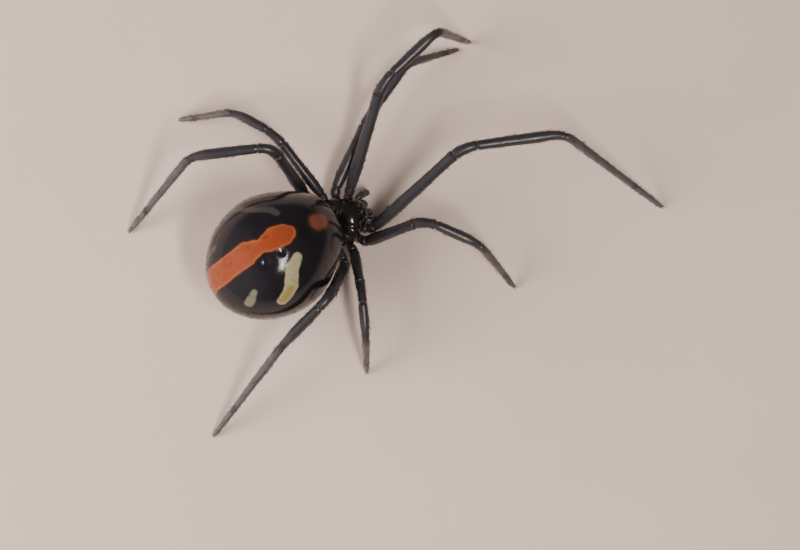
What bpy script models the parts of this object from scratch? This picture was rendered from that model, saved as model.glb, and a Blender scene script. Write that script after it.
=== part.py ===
"""Black widow spider, female, standing, at life size.

Frame: +Z up, the head towards -Y, the spider's left side towards +X. The origin is on the floor
below the middle of the whole animal. Lengths below are in millimetres and become metres through MM.
Every leg follows one smooth centre line from the breastplate to its foot, and that line is shared out
between four solids: coxa, femur, tibia (with the knee) and foot (metatarsus and tarsus).
"""

import math

import bmesh
import bpy
from mathutils import Matrix, Vector

MM = 0.001
GAP = 0.10  # clear space between neighbouring solids
PACK_NAME = "black_widow_spider"

# Carapace and breastplate (front half of the body), measured from its own middle
CARAPACE_LENGTH = 2.8
CARAPACE_WIDTH = 2.5
CARAPACE_HEAD_WIDTH = 1.5
CARAPACE_RIM_HEIGHT = 1.64
CARAPACE_HEAD_TOP = 2.45
CARAPACE_REAR_TOP = 1.86
CARAPACE_UNDERSIDE = 0.10
NECK_START = 0.10  # as a share of half the length, forward of the middle
NECK_LENGTH = 0.55
HEAD_BLUNTNESS = 5
HEAD_RISE_LENGTH = 1.5
STERNUM_LENGTH = 1.9
STERNUM_WIDTH = 1.34
STERNUM_BOTTOM = 0.88
STERNUM_TOP = 1.8
STERNUM_FLATNESS = 1.5
MOUTHPARTS_CENTRE = (0.0, -0.82, 1.25)
MOUTHPARTS_SIZE = (1.0, 0.56, 0.5)

# Eyes: (distance from the middle line, distance forward of the body's middle, height, radius)
EYES = (
    (0.15, 1.25, 2.02, 0.10),
    (0.46, 1.12, 1.98, 0.09),
    (0.17, 1.02, 2.28, 0.10),
    (0.52, 0.95, 2.16, 0.09),
)

# Abdomen (rear half of the body): an egg, wide and round in front, narrower behind
ABDOMEN_LENGTH = 7.3
ABDOMEN_WIDTH = 6.2
ABDOMEN_HEIGHT = 5.9
ABDOMEN_CENTRE = (-0.06, 3.90, 4.00)
ABDOMEN_YAW = 7.0
ABDOMEN_REAR_TAPER = 0.05
ABDOMEN_FRONT_TAPER = 0.35
ABDOMEN_WAIST = 0.60
PEDICEL_FRONT = (0.0, 1.52, 1.60)
PEDICEL_BACK = (0.0, 2.20, 2.05)
PEDICEL_RADII = (0.24, 0.36)
SPINNERET_ANGLE = 50.0
SPINNERET_STAND_OFF = 0.16
SPINNERET_BASE_LENGTH = 0.22
SPINNERET_BASE_RADII = (0.41, 0.36)
SPINNERET_LENGTH = 0.53
SPINNERET_RADIUS = 0.17

# Jaws and palps
CHELICERA_ROOT = (0.24, -1.27, 1.49)
CHELICERA_TIP = (0.23, -1.47, 0.72)
CHELICERA_BULGE = 0.05
CHELICERA_RADII = (0.19, 0.20, 0.13)
FANG_SWING = (0.10, 0.12, 0.22)
FANG_RADII = (0.08, 0.03)
PALP_ROOT = (0.56, -1.10, 1.22)
PALP_LENGTHS = (0.38, 0.45, 0.42, 0.42)
PALP_YAWS = (20.0, 8.0, 0.0, 160.0)
PALP_PITCHES = (-5.0, -45.0, -75.0, -30.0)
PALP_BEND_REACH = 0.20
PALP_RADII = ((0.0, 0.13), (0.3, 0.16), (0.6, 0.15), (0.85, 0.17), (1.0, 0.07))

# Legs: where each pair leaves the body, and how thick it is beside the first pair
HIP_HEIGHT = 1.45
COXA_ROOT_HEIGHT = 1.22
COXA_ROOT_ELLIPSE = (0.80, 1.06)
HIPS = {1: (1.13, -1.08), 2: (1.50, -0.42), 3: (1.50, 0.20), 4: (2.00, 0.92)}
COXA_YAWS = {1: 54.0, 2: 79.0, 3: 105.0, 4: 140.0}
THICKNESS = {1: 1.0, 2: 0.94, 3: 0.86, 4: 0.98}

# Stance: yaw is from straight ahead towards the leg's own side, pitch is above the horizon, in degrees.
# The foot's pitch isn't here, because it is the one that brings the foot down to the floor.
STANCE = {
    "right_1": {"femur": (-10, 25, 6.5), "tibia": (22, -3, 5.15), "foot": (63, 7.15)},
    "right_2": {"femur": (14, 36, 3.85), "tibia": (53, -9, 3.05), "foot": (75, 4.1)},
    "right_3": {"femur": (110, 39, 3.15), "tibia": (115, -17, 2.35), "foot": (118, 3.1)},
    "right_4": {"femur": (141, 60, 4.65), "tibia": (167, -31, 3.7), "foot": (160, 6.55)},
    "left_1": {"femur": (42, 29, 6.05), "tibia": (13, 6, 3.8), "foot": (-27, 5.05)},
    "left_2": {"femur": (35, 7, 4.15), "tibia": (25, -3, 3.25), "foot": (-10, 3.4)},
    "left_3": {"femur": (99, 22, 4.1), "tibia": (119, -16, 2.5), "foot": (152, 3.65)},
    "left_4": {"femur": (100, 53, 4.35), "tibia": (155, -14, 4.25), "foot": (-163, 6.0)},
}
BEND_REACH = {"hip": 0.45, "knee": 0.85, "ankle": 0.70}
KNEE_START = 0.62
STEP_ALONG_LEG = 0.55
LEG_SIDES_RESOLUTION = 3

# Leg radius at points along it: (stretch, share of that stretch, radius)
LEG_RADII = (
    ("coxa", 0.0, 0.18),
    ("coxa", 0.7, 0.24),
    ("coxa", 1.0, 0.25),
    ("femur", 0.25, 0.31),
    ("femur", 0.85, 0.27),
    ("femur", 1.0, 0.29),
    ("tibia", 0.25, 0.25),
    ("tibia", 0.75, 0.28),
    ("tibia", 1.0, 0.22),
    ("foot", 0.1, 0.22),
    ("foot", 0.7, 0.165),
    ("foot", 1.0, 0.11),
)

FINISHES = {
    "carapace": ((0.016, 0.012, 0.011), 0.32),
    "abdomen": ((0.010, 0.009, 0.010), 0.20),
    "leg": ((0.030, 0.023, 0.024), 0.38),
    "foot": ((0.085, 0.062, 0.055), 0.45),
    "spinneret": ((0.060, 0.035, 0.025), 0.50),
    "jaw": ((0.022, 0.012, 0.010), 0.25),
}


def clear_scene():
    for thing in list(bpy.data.objects):
        bpy.data.objects.remove(thing, do_unlink=True)


def make_collection(name):
    group = bpy.data.collections.new(name)
    bpy.context.scene.collection.children.link(group)
    return group


def finish_for(node, kind):
    colour, roughness = FINISHES[kind]
    material = bpy.data.materials.new(node + "_cuticle")
    material.use_nodes = True
    shader = material.node_tree.nodes["Principled BSDF"]
    shader.inputs["Base Color"].default_value = (*colour, 1.0)
    shader.inputs["Roughness"].default_value = roughness
    shader.inputs["Metallic"].default_value = 0.0
    return material


def direction(yaw, pitch, side):
    """Unit vector for a yaw from straight ahead (-Y) towards the given side, and a pitch."""
    yaw = math.radians(yaw)
    pitch = math.radians(pitch)
    level = math.cos(pitch)
    return Vector((side * math.sin(yaw) * level, -math.cos(yaw) * level, math.sin(pitch)))


def add_mesh(name, bm, group):
    mesh = bpy.data.meshes.new(name)
    bm.to_mesh(mesh)
    bm.free()
    thing = bpy.data.objects.new(name, mesh)
    group.objects.link(thing)
    return thing


def scale_to_metres(bm):
    bmesh.ops.scale(bm, verts=bm.verts, vec=(MM, MM, MM))


# Tubes for limbs


def bend_corner(before, corner, after, reach):
    """Points of a smooth bend that replaces a corner, starting and ending on its two sides."""
    start = corner + (before - corner).normalized() * min(reach, (before - corner).length * 0.45)
    end = corner + (after - corner).normalized() * min(reach, (after - corner).length * 0.45)
    points = []
    for step in range(5):
        t = step / 4
        points.append(start * (1 - t) ** 2 + corner * (2 * t * (1 - t)) + end * t**2)
    return points


def smooth_line(corners, reaches):
    line = [corners[0]]
    for index in range(1, len(corners) - 1):
        line += bend_corner(corners[index - 1], corners[index], corners[index + 1], reaches[index - 1])
    line.append(corners[-1])
    return line


def length_marks(line):
    marks = [0.0]
    for one, other in zip(line, line[1:]):
        marks.append(marks[-1] + (other - one).length)
    return marks


def point_at(line, marks, distance):
    distance = min(max(distance, 0.0), marks[-1])
    for index in range(1, len(marks)):
        if distance <= marks[index] + 1e-9:
            share = (distance - marks[index - 1]) / (marks[index] - marks[index - 1])
            return line[index - 1].lerp(line[index], share)
    return line[-1].copy()


def radius_at(profile, distance):
    """Radius from a list of (distance, radius) pairs, eased between them."""
    if distance <= profile[0][0]:
        return profile[0][1]
    for (low, first), (high, second) in zip(profile, profile[1:]):
        if distance <= high:
            share = (distance - low) / (high - low)
            eased = share * share * (3 - 2 * share)
            return first + (second - first) * eased
    return profile[-1][1]


def tube(name, line, profile, start, end, group):
    """A closed round tube along part of a line, with flat ends square to it."""
    marks = length_marks(line)
    places = [start, end]
    places += [mark for mark in marks if start + 0.12 < mark < end - 0.12]
    steps = max(2, round((end - start) / STEP_ALONG_LEG))
    for step in range(1, steps):
        place = start + (end - start) * step / steps
        if all(abs(place - mark) > 0.3 for mark in places):
            places.append(place)
    places.sort()
    curve = bpy.data.curves.new(name, "CURVE")
    curve.dimensions = "3D"
    curve.bevel_depth = MM
    curve.bevel_resolution = LEG_SIDES_RESOLUTION
    curve.use_fill_caps = True
    spline = curve.splines.new("POLY")
    spline.points.add(len(places) - 1)
    for point, place in zip(spline.points, places):
        point.co = (*(point_at(line, marks, place) * MM), 1.0)
        point.radius = radius_at(profile, place)
    holder = bpy.data.objects.new(name + "_line", curve)
    group.objects.link(holder)
    bpy.context.view_layer.update()
    evaluated = holder.evaluated_get(bpy.context.evaluated_depsgraph_get())
    mesh = bpy.data.meshes.new_from_object(evaluated)
    mesh.name = name
    bpy.data.objects.remove(holder, do_unlink=True)
    bpy.data.curves.remove(curve)
    bm = bmesh.new()
    bm.from_mesh(mesh)
    bmesh.ops.remove_doubles(bm, verts=bm.verts, dist=1e-7)
    bmesh.ops.recalc_face_normals(bm, faces=bm.faces)
    bm.to_mesh(mesh)
    bm.free()
    thing = bpy.data.objects.new(name, mesh)
    group.objects.link(thing)
    return thing


def cut_at_floor(thing):
    """Gives a foot its small flat sole at floor level."""
    bm = bmesh.new()
    bm.from_mesh(thing.data)
    geometry = bm.verts[:] + bm.edges[:] + bm.faces[:]
    cut = bmesh.ops.bisect_plane(
        bm, geom=geometry, dist=1e-8, plane_co=(0, 0, 0), plane_no=(0, 0, -1), clear_outer=True
    )
    rim = [item for item in cut["geom_cut"] if isinstance(item, bmesh.types.BMEdge)]
    bmesh.ops.contextual_create(bm, geom=rim)
    bmesh.ops.recalc_face_normals(bm, faces=bm.faces)
    bm.to_mesh(thing.data)
    bm.free()


# Legs


def leg_corners(name):
    """Corner points of a leg: breastplate, hip, knee, ankle and a point just under the floor."""
    side = 1 if name.startswith("left") else -1
    pair = int(name[-1])
    yaw = math.radians(COXA_YAWS[pair])
    across, along = COXA_ROOT_ELLIPSE
    root = Vector((side * across * math.sin(yaw), -along * math.cos(yaw), COXA_ROOT_HEIGHT))
    hip = Vector((side * HIPS[pair][0], HIPS[pair][1], HIP_HEIGHT))
    pose = STANCE[name]
    knee = hip + direction(pose["femur"][0], pose["femur"][1], side) * pose["femur"][2]
    ankle = knee + direction(pose["tibia"][0], pose["tibia"][1], side) * pose["tibia"][2]
    foot_yaw, foot_length = pose["foot"]
    foot_pitch = -math.degrees(math.asin(ankle.z / foot_length))
    toe = ankle + direction(foot_yaw, foot_pitch, side) * (foot_length + GAP)
    return [root, hip, knee, ankle, toe]


def leg_stretches(corners):
    """Start and end of each stretch, as distances along the smooth centre line."""
    line = smooth_line(corners, [BEND_REACH["hip"], BEND_REACH["knee"], BEND_REACH["ankle"]])
    marks = length_marks(line)
    nearest = []
    for corner in corners[1:-1]:
        best = min(range(len(line)), key=lambda index: (line[index] - corner).length)
        nearest.append(marks[best])
    hip, knee, ankle = nearest
    knee_start = knee - KNEE_START
    return line, {
        "coxa": (0.0, hip),
        "femur": (hip, knee_start),
        "tibia": (knee_start, ankle),
        "foot": (ankle, marks[-1]),
    }


def leg_profile(stretches, thickness):
    profile = []
    for stretch, share, radius in LEG_RADII:
        start, end = stretches[stretch]
        profile.append((start + (end - start) * share, radius * thickness))
    return profile


def make_leg(name, group):
    line, stretches = leg_stretches(leg_corners(name))
    profile = leg_profile(stretches, THICKNESS[int(name[-1])])
    for stretch, (start, end) in stretches.items():
        first = start if stretch == "coxa" else start + GAP / 2
        last = end if stretch == "foot" else end - GAP / 2
        node = "leg_" + name + "_" + stretch
        piece = tube(node, line, profile, first, last, group)
        if stretch == "foot":
            cut_at_floor(piece)
        piece.data.materials.append(finish_for(node, "foot" if stretch == "foot" else "leg"))


# Body


def egg(name, centre, size, shape, rings, sides, group):
    """A closed round body along Y. The shape function turns a unit-sphere point into its place."""
    bm = bmesh.new()
    bmesh.ops.create_uvsphere(bm, u_segments=sides, v_segments=rings, radius=1.0)
    bmesh.ops.rotate(bm, verts=bm.verts, cent=(0, 0, 0), matrix=Matrix.Rotation(math.pi / 2, 3, "X"))
    for vertex in bm.verts:
        point = shape(vertex.co.copy())
        vertex.co = Vector(
            (
                centre[0] + point.x * size[0] / 2,
                centre[1] + point.y * size[1] / 2,
                centre[2] + point.z * size[2] / 2,
            )
        )
    scale_to_metres(bm)
    bmesh.ops.recalc_face_normals(bm, faces=bm.faces)
    return add_mesh(name, bm, group)


def cylinder_between(name, start, end, radii, group, sides=14):
    start = Vector(start)
    end = Vector(end)
    axis = end - start
    bm = bmesh.new()
    bmesh.ops.create_cone(
        bm, cap_ends=True, segments=sides, radius1=radii[0], radius2=radii[1], depth=axis.length
    )
    turn = axis.to_track_quat("Z", "Y").to_matrix()
    bmesh.ops.rotate(bm, verts=bm.verts, cent=(0, 0, 0), matrix=turn)
    bmesh.ops.translate(bm, verts=bm.verts, vec=(start + end) / 2)
    scale_to_metres(bm)
    return add_mesh(name, bm, group)


def ball(name, centre, radius, group):
    bm = bmesh.new()
    bmesh.ops.create_icosphere(bm, subdivisions=2, radius=radius)
    bmesh.ops.translate(bm, verts=bm.verts, vec=centre)
    scale_to_metres(bm)
    return add_mesh(name, bm, group)


def keep_largest_surface(bm):
    left = set(bm.verts)
    surfaces = []
    while left:
        seed = left.pop()
        found = {seed}
        front = [seed]
        while front:
            vertex = front.pop()
            for edge in vertex.link_edges:
                other = edge.other_vert(vertex)
                if other in left:
                    left.discard(other)
                    found.add(other)
                    front.append(other)
        surfaces.append(found)
    surfaces.sort(key=len)
    for loose in surfaces[:-1]:
        bmesh.ops.delete(bm, geom=list(loose), context="VERTS")


def join_pieces(target, pieces):
    """One Boolean union of a node's closed pieces, applied, keeping its largest surface."""
    joined = bpy.data.collections.new(target.name + "_pieces")
    bpy.context.scene.collection.children.link(joined)
    for piece in pieces:
        joined.objects.link(piece)
    union = target.modifiers.new("union", "BOOLEAN")
    union.operation = "UNION"
    union.operand_type = "COLLECTION"
    union.collection = joined
    union.solver = "EXACT"
    bpy.context.view_layer.update()
    evaluated = target.evaluated_get(bpy.context.evaluated_depsgraph_get())
    mesh = bpy.data.meshes.new_from_object(evaluated)
    target.modifiers.clear()
    target.data = mesh
    for piece in pieces:
        bpy.data.objects.remove(piece, do_unlink=True)
    bpy.data.collections.remove(joined)
    bm = bmesh.new()
    bm.from_mesh(mesh)
    keep_largest_surface(bm)
    bmesh.ops.triangulate(bm, faces=bm.faces)
    bm.to_mesh(mesh)
    bm.free()


def carapace_shape(point):
    """Pear-shaped shield seen from above, high over the head and low behind, nearly flat below."""
    forward = -point.y
    outline = 1.0
    if forward > NECK_START:
        narrowed = min(1.0, (forward - NECK_START) / NECK_LENGTH)
        circle = max(math.sqrt(1 - min(1.0, forward**2)), 0.05)
        blunt = math.sqrt(max(0.0, 1 - forward**HEAD_BLUNTNESS)) / circle
        outline = blunt * (1 - (1 - CARAPACE_HEAD_WIDTH / CARAPACE_WIDTH) * narrowed)
    if point.z < 0:
        return Vector((point.x * outline, point.y, point.z * CARAPACE_UNDERSIDE))
    risen = min(1.0, max(0.0, (forward + 1.0) / HEAD_RISE_LENGTH))
    top = CARAPACE_REAR_TOP + (CARAPACE_HEAD_TOP - CARAPACE_REAR_TOP) * risen
    return Vector((point.x * outline, point.y, point.z * (top - CARAPACE_RIM_HEIGHT)))


def sternum_shape(point):
    """A heart-shaped plate made flat above and below."""
    return Vector((point.x, point.y, max(-1.0, min(1.0, point.z * STERNUM_FLATNESS))))


def plain_shape(point):
    return point


def make_prosoma(group):
    """Carapace, breastplate, mouthparts and the eight eyes, as one solid."""
    size = (CARAPACE_WIDTH, CARAPACE_LENGTH, 2.0)  # the carapace's own shape gives its heights in mm
    prosoma = egg("prosoma", (0, 0, CARAPACE_RIM_HEIGHT), size, carapace_shape, 16, 28, group)
    middle = (STERNUM_TOP + STERNUM_BOTTOM) / 2
    size = (STERNUM_WIDTH, STERNUM_LENGTH, STERNUM_TOP - STERNUM_BOTTOM)
    pieces = [egg("sternum", (0, 0, middle), size, sternum_shape, 12, 20, group)]
    pieces.append(egg("mouthparts", MOUTHPARTS_CENTRE, MOUTHPARTS_SIZE, plain_shape, 10, 16, group))
    for across, forward, height, radius in EYES:
        for side in (1, -1):
            pieces.append(ball("eye", (side * across, -forward, height), radius, group))
    join_pieces(prosoma, pieces)
    prosoma.data.materials.append(finish_for("prosoma", "carapace"))


def abdomen_shape(point):
    """Egg: drawn in a little towards the spinnerets, and more in front, where the hind legs pass."""
    taper = 1 - ABDOMEN_REAR_TAPER * max(0.0, point.y) ** 2
    ahead = max(0.0, -point.y) ** 2
    narrowing = 1 - ABDOMEN_FRONT_TAPER * ahead * (1 - ahead)
    waist = 1 - ABDOMEN_WAIST * max(0.0, -point.y) * max(0.0, -point.z)
    return Vector((point.x * taper * narrowing * waist, point.y, point.z * taper))


def make_abdomen(group):
    """The abdomen with its short stalk, which ends just behind the carapace."""
    size = (ABDOMEN_WIDTH, ABDOMEN_LENGTH, ABDOMEN_HEIGHT)
    abdomen = egg("abdomen", (0, 0, 0), size, abdomen_shape, 22, 32, group)
    turn = Matrix.Rotation(math.radians(ABDOMEN_YAW), 4, "Z")
    abdomen.data.transform(Matrix.Translation(Vector(ABDOMEN_CENTRE) * MM) @ turn)
    stalk = cylinder_between("stalk", PEDICEL_FRONT, PEDICEL_BACK, PEDICEL_RADII, group)
    join_pieces(abdomen, [stalk])
    abdomen.data.materials.append(finish_for("abdomen", "abdomen"))


def abdomen_point(angle):
    """A point of the abdomen's middle line the given angle below its rear end, and the way out there."""
    swing = math.radians(angle)
    back = math.cos(swing)
    taper = 1 - ABDOMEN_REAR_TAPER * back**2
    local = Vector((0.0, back * ABDOMEN_LENGTH / 2, -math.sin(swing) * taper * ABDOMEN_HEIGHT / 2))
    normal = Vector((0.0, back / ABDOMEN_LENGTH, -math.sin(swing) / ABDOMEN_HEIGHT)).normalized()
    turn = Matrix.Rotation(math.radians(ABDOMEN_YAW), 3, "Z")
    return Vector(ABDOMEN_CENTRE) + turn @ local, turn @ normal


def make_spinnerets(group):
    """A low round base with four short cones, behind and below the abdomen."""
    place, outward = abdomen_point(SPINNERET_ANGLE)
    sideways = Vector((1, 0, 0))
    backward = outward.cross(sideways).normalized()
    base_start = place + outward * SPINNERET_STAND_OFF
    base_end = base_start + outward * SPINNERET_BASE_LENGTH
    base = cylinder_between("spinnerets", base_start, base_end, SPINNERET_BASE_RADII, group, 20)
    cones = []
    for row in (1, -1):
        for side in (1, -1):
            spread = backward * (row * SPINNERET_RADIUS) + sideways * (side * SPINNERET_RADIUS)
            root = base_start + outward * (SPINNERET_BASE_LENGTH / 2) + spread
            tip = root + outward * SPINNERET_LENGTH - sideways * (side * SPINNERET_RADIUS / 2)
            radii = (SPINNERET_RADIUS, SPINNERET_RADIUS / 2)
            cones.append(cylinder_between("cone", root, tip, radii, group, 10))
    join_pieces(base, cones)
    base.data.materials.append(finish_for("spinnerets", "spinneret"))


def make_chelicera(side, name, group):
    """One jaw hanging in front of the head, with its short fang."""
    root = Vector((side * CHELICERA_ROOT[0], CHELICERA_ROOT[1], CHELICERA_ROOT[2]))
    tip = Vector((side * CHELICERA_TIP[0], CHELICERA_TIP[1], CHELICERA_TIP[2]))
    line = [root, root.lerp(tip, 0.5) - Vector((0, CHELICERA_BULGE, 0)), tip]
    marks = length_marks(line)
    jaw = tube(name, line, list(zip(marks, CHELICERA_RADII)), 0.0, marks[-1], group)
    fang_root = root.lerp(tip, 0.9)
    fang_tip = tip + Vector((-side * FANG_SWING[0], FANG_SWING[1], -FANG_SWING[2]))
    join_pieces(jaw, [cylinder_between("fang", fang_root, fang_tip, FANG_RADII, group, 8)])
    jaw.data.materials.append(finish_for(name, "jaw"))


def make_palp(side, name, group):
    corners = [Vector((side * PALP_ROOT[0], PALP_ROOT[1], PALP_ROOT[2]))]
    for yaw, pitch, length in zip(PALP_YAWS, PALP_PITCHES, PALP_LENGTHS):
        corners.append(corners[-1] + direction(yaw, pitch, side) * length)
    line = smooth_line(corners, [PALP_BEND_REACH] * (len(corners) - 2))
    marks = length_marks(line)
    profile = [(marks[-1] * share, radius) for share, radius in PALP_RADII]
    palp = tube(name, line, profile, 0.0, marks[-1], group)
    palp.data.materials.append(finish_for(name, "leg"))


def centre_on_floor(group):
    """Parents every part to one empty that puts the origin under the middle of the animal."""
    bpy.context.view_layer.update()
    low = Vector((1e9, 1e9, 1e9))
    high = Vector((-1e9, -1e9, -1e9))
    for part in group.objects:
        for vertex in part.data.vertices:
            low = Vector(map(min, low, vertex.co))
            high = Vector(map(max, high, vertex.co))
    anchor = bpy.data.objects.new("body_middle", None)
    group.objects.link(anchor)
    anchor.location = (-(low.x + high.x) / 2, -(low.y + high.y) / 2, -low.z)
    for part in group.objects:
        if part != anchor:
            part.parent = anchor


def main():
    clear_scene()
    group = make_collection(PACK_NAME)
    make_prosoma(group)
    make_abdomen(group)
    make_spinnerets(group)
    for side, word in ((1, "left"), (-1, "right")):
        make_chelicera(side, "chelicera_" + word, group)
        make_palp(side, "pedipalp_" + word, group)
    for name in STANCE:
        make_leg(name, group)
    for part in group.objects:
        part.data.shade_smooth()
        part.data.set_sharp_from_angle(angle=math.radians(50))
    centre_on_floor(group)


main()
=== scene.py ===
# %% [markdown]
# # Black widow spider, dressed for the camera
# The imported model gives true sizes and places, but its surfaces are plain and faceted. In this lesson each
# solid gets a finer skin: glossy cuticle, painted markings, joints, hairs, eyes and claws. All lengths are
# in millimetres while a piece is modelled, and become metres when it is finished.

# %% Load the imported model
import math

import bmesh
import bpy
import numpy as np
from mathutils import Matrix, Vector


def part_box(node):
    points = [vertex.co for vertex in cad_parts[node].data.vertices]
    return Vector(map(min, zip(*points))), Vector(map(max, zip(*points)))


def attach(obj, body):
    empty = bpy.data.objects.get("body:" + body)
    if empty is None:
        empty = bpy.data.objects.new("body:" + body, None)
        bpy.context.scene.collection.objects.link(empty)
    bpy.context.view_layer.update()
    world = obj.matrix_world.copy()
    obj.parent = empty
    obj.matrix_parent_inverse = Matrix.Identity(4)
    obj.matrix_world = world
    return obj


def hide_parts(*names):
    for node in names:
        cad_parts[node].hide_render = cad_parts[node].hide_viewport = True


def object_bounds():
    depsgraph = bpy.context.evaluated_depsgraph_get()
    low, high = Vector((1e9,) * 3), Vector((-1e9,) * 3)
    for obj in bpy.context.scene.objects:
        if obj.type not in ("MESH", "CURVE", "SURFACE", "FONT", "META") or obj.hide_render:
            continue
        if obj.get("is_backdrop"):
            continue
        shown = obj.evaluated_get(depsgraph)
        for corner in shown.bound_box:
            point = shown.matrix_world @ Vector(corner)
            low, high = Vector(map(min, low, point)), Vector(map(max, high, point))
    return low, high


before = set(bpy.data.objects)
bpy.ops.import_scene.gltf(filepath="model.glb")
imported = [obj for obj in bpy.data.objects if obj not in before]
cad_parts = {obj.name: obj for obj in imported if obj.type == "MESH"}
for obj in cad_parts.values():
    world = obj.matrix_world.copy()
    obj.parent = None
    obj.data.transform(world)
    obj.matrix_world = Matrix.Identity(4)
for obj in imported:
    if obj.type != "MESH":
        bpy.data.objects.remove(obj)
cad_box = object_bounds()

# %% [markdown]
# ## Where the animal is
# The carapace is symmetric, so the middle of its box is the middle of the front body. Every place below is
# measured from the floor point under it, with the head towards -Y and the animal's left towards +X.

MM = 0.001
SIDES = ((1, "left"), (-1, "right"))
low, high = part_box("prosoma")
BODY_PLACE = Vector(((low.x + high.x) / 2, (low.y + high.y) / 2, 0.0)) / MM


def mirrored(place, side):
    """A place given for the left side, taken to the given side: 1 is left and -1 is right."""
    return Vector((side * place[0], place[1], place[2]))


print("body middle in mm:", [round(value, 3) for value in BODY_PLACE])
print("whole model in mm:", [[round(value / MM, 2) for value in corner] for corner in cad_box])

# %% [markdown]
# ## The camera
# The photo looks down on the animal from 7.5 degrees off the vertical, and the stance was measured from it as
# from a flat drawing. So a very long lens is placed far away, where perspective hardly shows. One millimetre
# on the floor covers 20 pixels of an image that is 800 pixels wide and 550 high, and the front body stands
# over the pixel (342, 225).

# %% Camera
IMAGE_SIZE = (800, 550)
PIXELS_PER_MM = 20.0
FRONT_BODY_PIXEL = (342, 225)
CAMERA_AZIMUTH = math.radians(240)
CAMERA_ELEVATION = math.radians(82.5)
CAMERA_DISTANCE = 1100.0
SENSOR_WIDTH = 36.0
NEAREST_SEEN = 10.0

TO_CAMERA = Vector(
    (
        math.sin(CAMERA_AZIMUTH) * math.cos(CAMERA_ELEVATION),
        -math.cos(CAMERA_AZIMUTH) * math.cos(CAMERA_ELEVATION),
        math.sin(CAMERA_ELEVATION),
    )
)
IMAGE_RIGHT = Vector((math.cos(CAMERA_AZIMUTH), math.sin(CAMERA_AZIMUTH), 0.0))
IMAGE_UP = TO_CAMERA.cross(IMAGE_RIGHT)
right_of_middle = (IMAGE_SIZE[0] / 2 - FRONT_BODY_PIXEL[0]) / PIXELS_PER_MM
below_middle = (IMAGE_SIZE[1] / 2 - FRONT_BODY_PIXEL[1]) / PIXELS_PER_MM
view_target = BODY_PLACE + IMAGE_RIGHT * right_of_middle - IMAGE_UP * below_middle

lens = bpy.data.cameras.new("overhead_camera")
lens.sensor_width = SENSOR_WIDTH
lens.lens = SENSOR_WIDTH * CAMERA_DISTANCE * PIXELS_PER_MM / IMAGE_SIZE[0]
lens.clip_start = NEAREST_SEEN * MM
camera = bpy.data.objects.new("overhead_camera", lens)
camera.matrix_world = Matrix.Translation((view_target + TO_CAMERA * CAMERA_DISTANCE) * MM) @ (
    Matrix((IMAGE_RIGHT, IMAGE_UP, TO_CAMERA)).transposed().to_4x4()
)
bpy.context.scene.collection.objects.link(camera)
bpy.context.scene.camera = camera
print("focal length in mm:", lens.lens)

# %% [markdown]
# ## Finishing a piece
# Every piece is modelled around the front body's floor point. To finish it, its mesh is shrunk to metres and
# moved to its true place, so that the object itself stays at the origin. It then gets its material and rides
# on the animal's one body.

# %% Finish a piece
ROOT_BODY = "root"


def finish_mesh(mesh, name, material):
    mesh.materials.append(material)
    mesh.transform(Matrix.Translation(BODY_PLACE * MM) @ Matrix.Scale(MM, 4))
    mesh.shade_smooth()
    thing = bpy.data.objects.new(name, mesh)
    bpy.context.scene.collection.objects.link(thing)
    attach(thing, ROOT_BODY)
    return thing


def finish_piece(bm, name, material):
    bmesh.ops.recalc_face_normals(bm, faces=bm.faces)
    mesh = bpy.data.meshes.new(name)
    bm.to_mesh(mesh)
    bm.free()
    thing = finish_mesh(mesh, name, material)
    print(name, len(mesh.polygons), "faces")
    return thing


# %% [markdown]
# ## Adding shader nodes
# Colours are written as the hex values that a paint program shows, so one function turns them to the linear
# values that the shader wants. Another adds one node with its options and its inputs, where an input is
# either a value or another node's output. A colour mix has its sockets numbered, because its plain number
# sockets go by the same names.

# %% Colour and node helpers
CHITIN_IOR = 1.56
MIX_A, MIX_B, MIX_RESULT = 6, 7, 2
COLOUR_MIX = {"data_type": "RGBA"}


def colour(hex_code):
    linear = []
    for start in (1, 3, 5):
        value = int(hex_code[start:start + 2], 16) / 255
        linear.append(value / 12.92 if value <= 0.04045 else ((value + 0.055) / 1.055) ** 2.4)
    return (*linear, 1.0)


def add_node(tree, kind, settings, inputs):
    node = tree.nodes.new(kind)
    for name, value in settings.items():
        setattr(node, name, value)
    for name, value in inputs.items():
        if isinstance(value, bpy.types.NodeSocket):
            tree.links.new(value, node.inputs[name])
        else:
            node.inputs[name].default_value = value
    return node


def per_mm(size):
    """Scale of a pattern whose features are the given size in millimetres."""
    return 1.0 / (size * MM)


print("a shader reads #808080 as", round(colour("#808080")[0], 3))

# %% [markdown]
# ## Starting a finish
# No real surface is one even colour, so every finish starts from two tints that drift into each other with a
# noise. The pattern reads the object's own coordinates, because each object sits at the origin and the
# pattern then stays on the piece. Cuticle also has a grain finer than a hair, which breaks up its gloss and
# lifts the surface a little.

# %% Two tints and a grain
GRAIN_DEPTH = 0.012


def start_material(name, roughness, ior):
    """A new material with its node tree, its shader and the object coordinates that its patterns read."""
    material = bpy.data.materials.new(name)
    material.use_nodes = True
    tree = material.node_tree
    shader = tree.nodes["Principled BSDF"]
    shader.inputs["Roughness"].default_value = roughness
    shader.inputs["IOR"].default_value = ior
    place = add_node(tree, "ShaderNodeTexCoord", {}, {}).outputs["Object"]
    return material, tree, shader, place


def two_tints(tree, place, pattern, first, second):
    """Colour that drifts from one hex value to another with a noise, and the noise itself."""
    drift = add_node(tree, "ShaderNodeTexNoise", {}, {"Vector": place, **pattern}).outputs["Fac"]
    tint = add_node(
        tree, "ShaderNodeMix", COLOUR_MIX, {0: drift, MIX_A: colour(first), MIX_B: colour(second)}
    )
    return tint.outputs[MIX_RESULT], drift


def add_bump(tree, shader, height, depth, strength):
    bump = add_node(
        tree, "ShaderNodeBump", {}, {"Strength": strength, "Distance": depth * MM, "Height": height}
    )
    tree.links.new(bump.outputs["Normal"], shader.inputs["Normal"])


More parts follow.
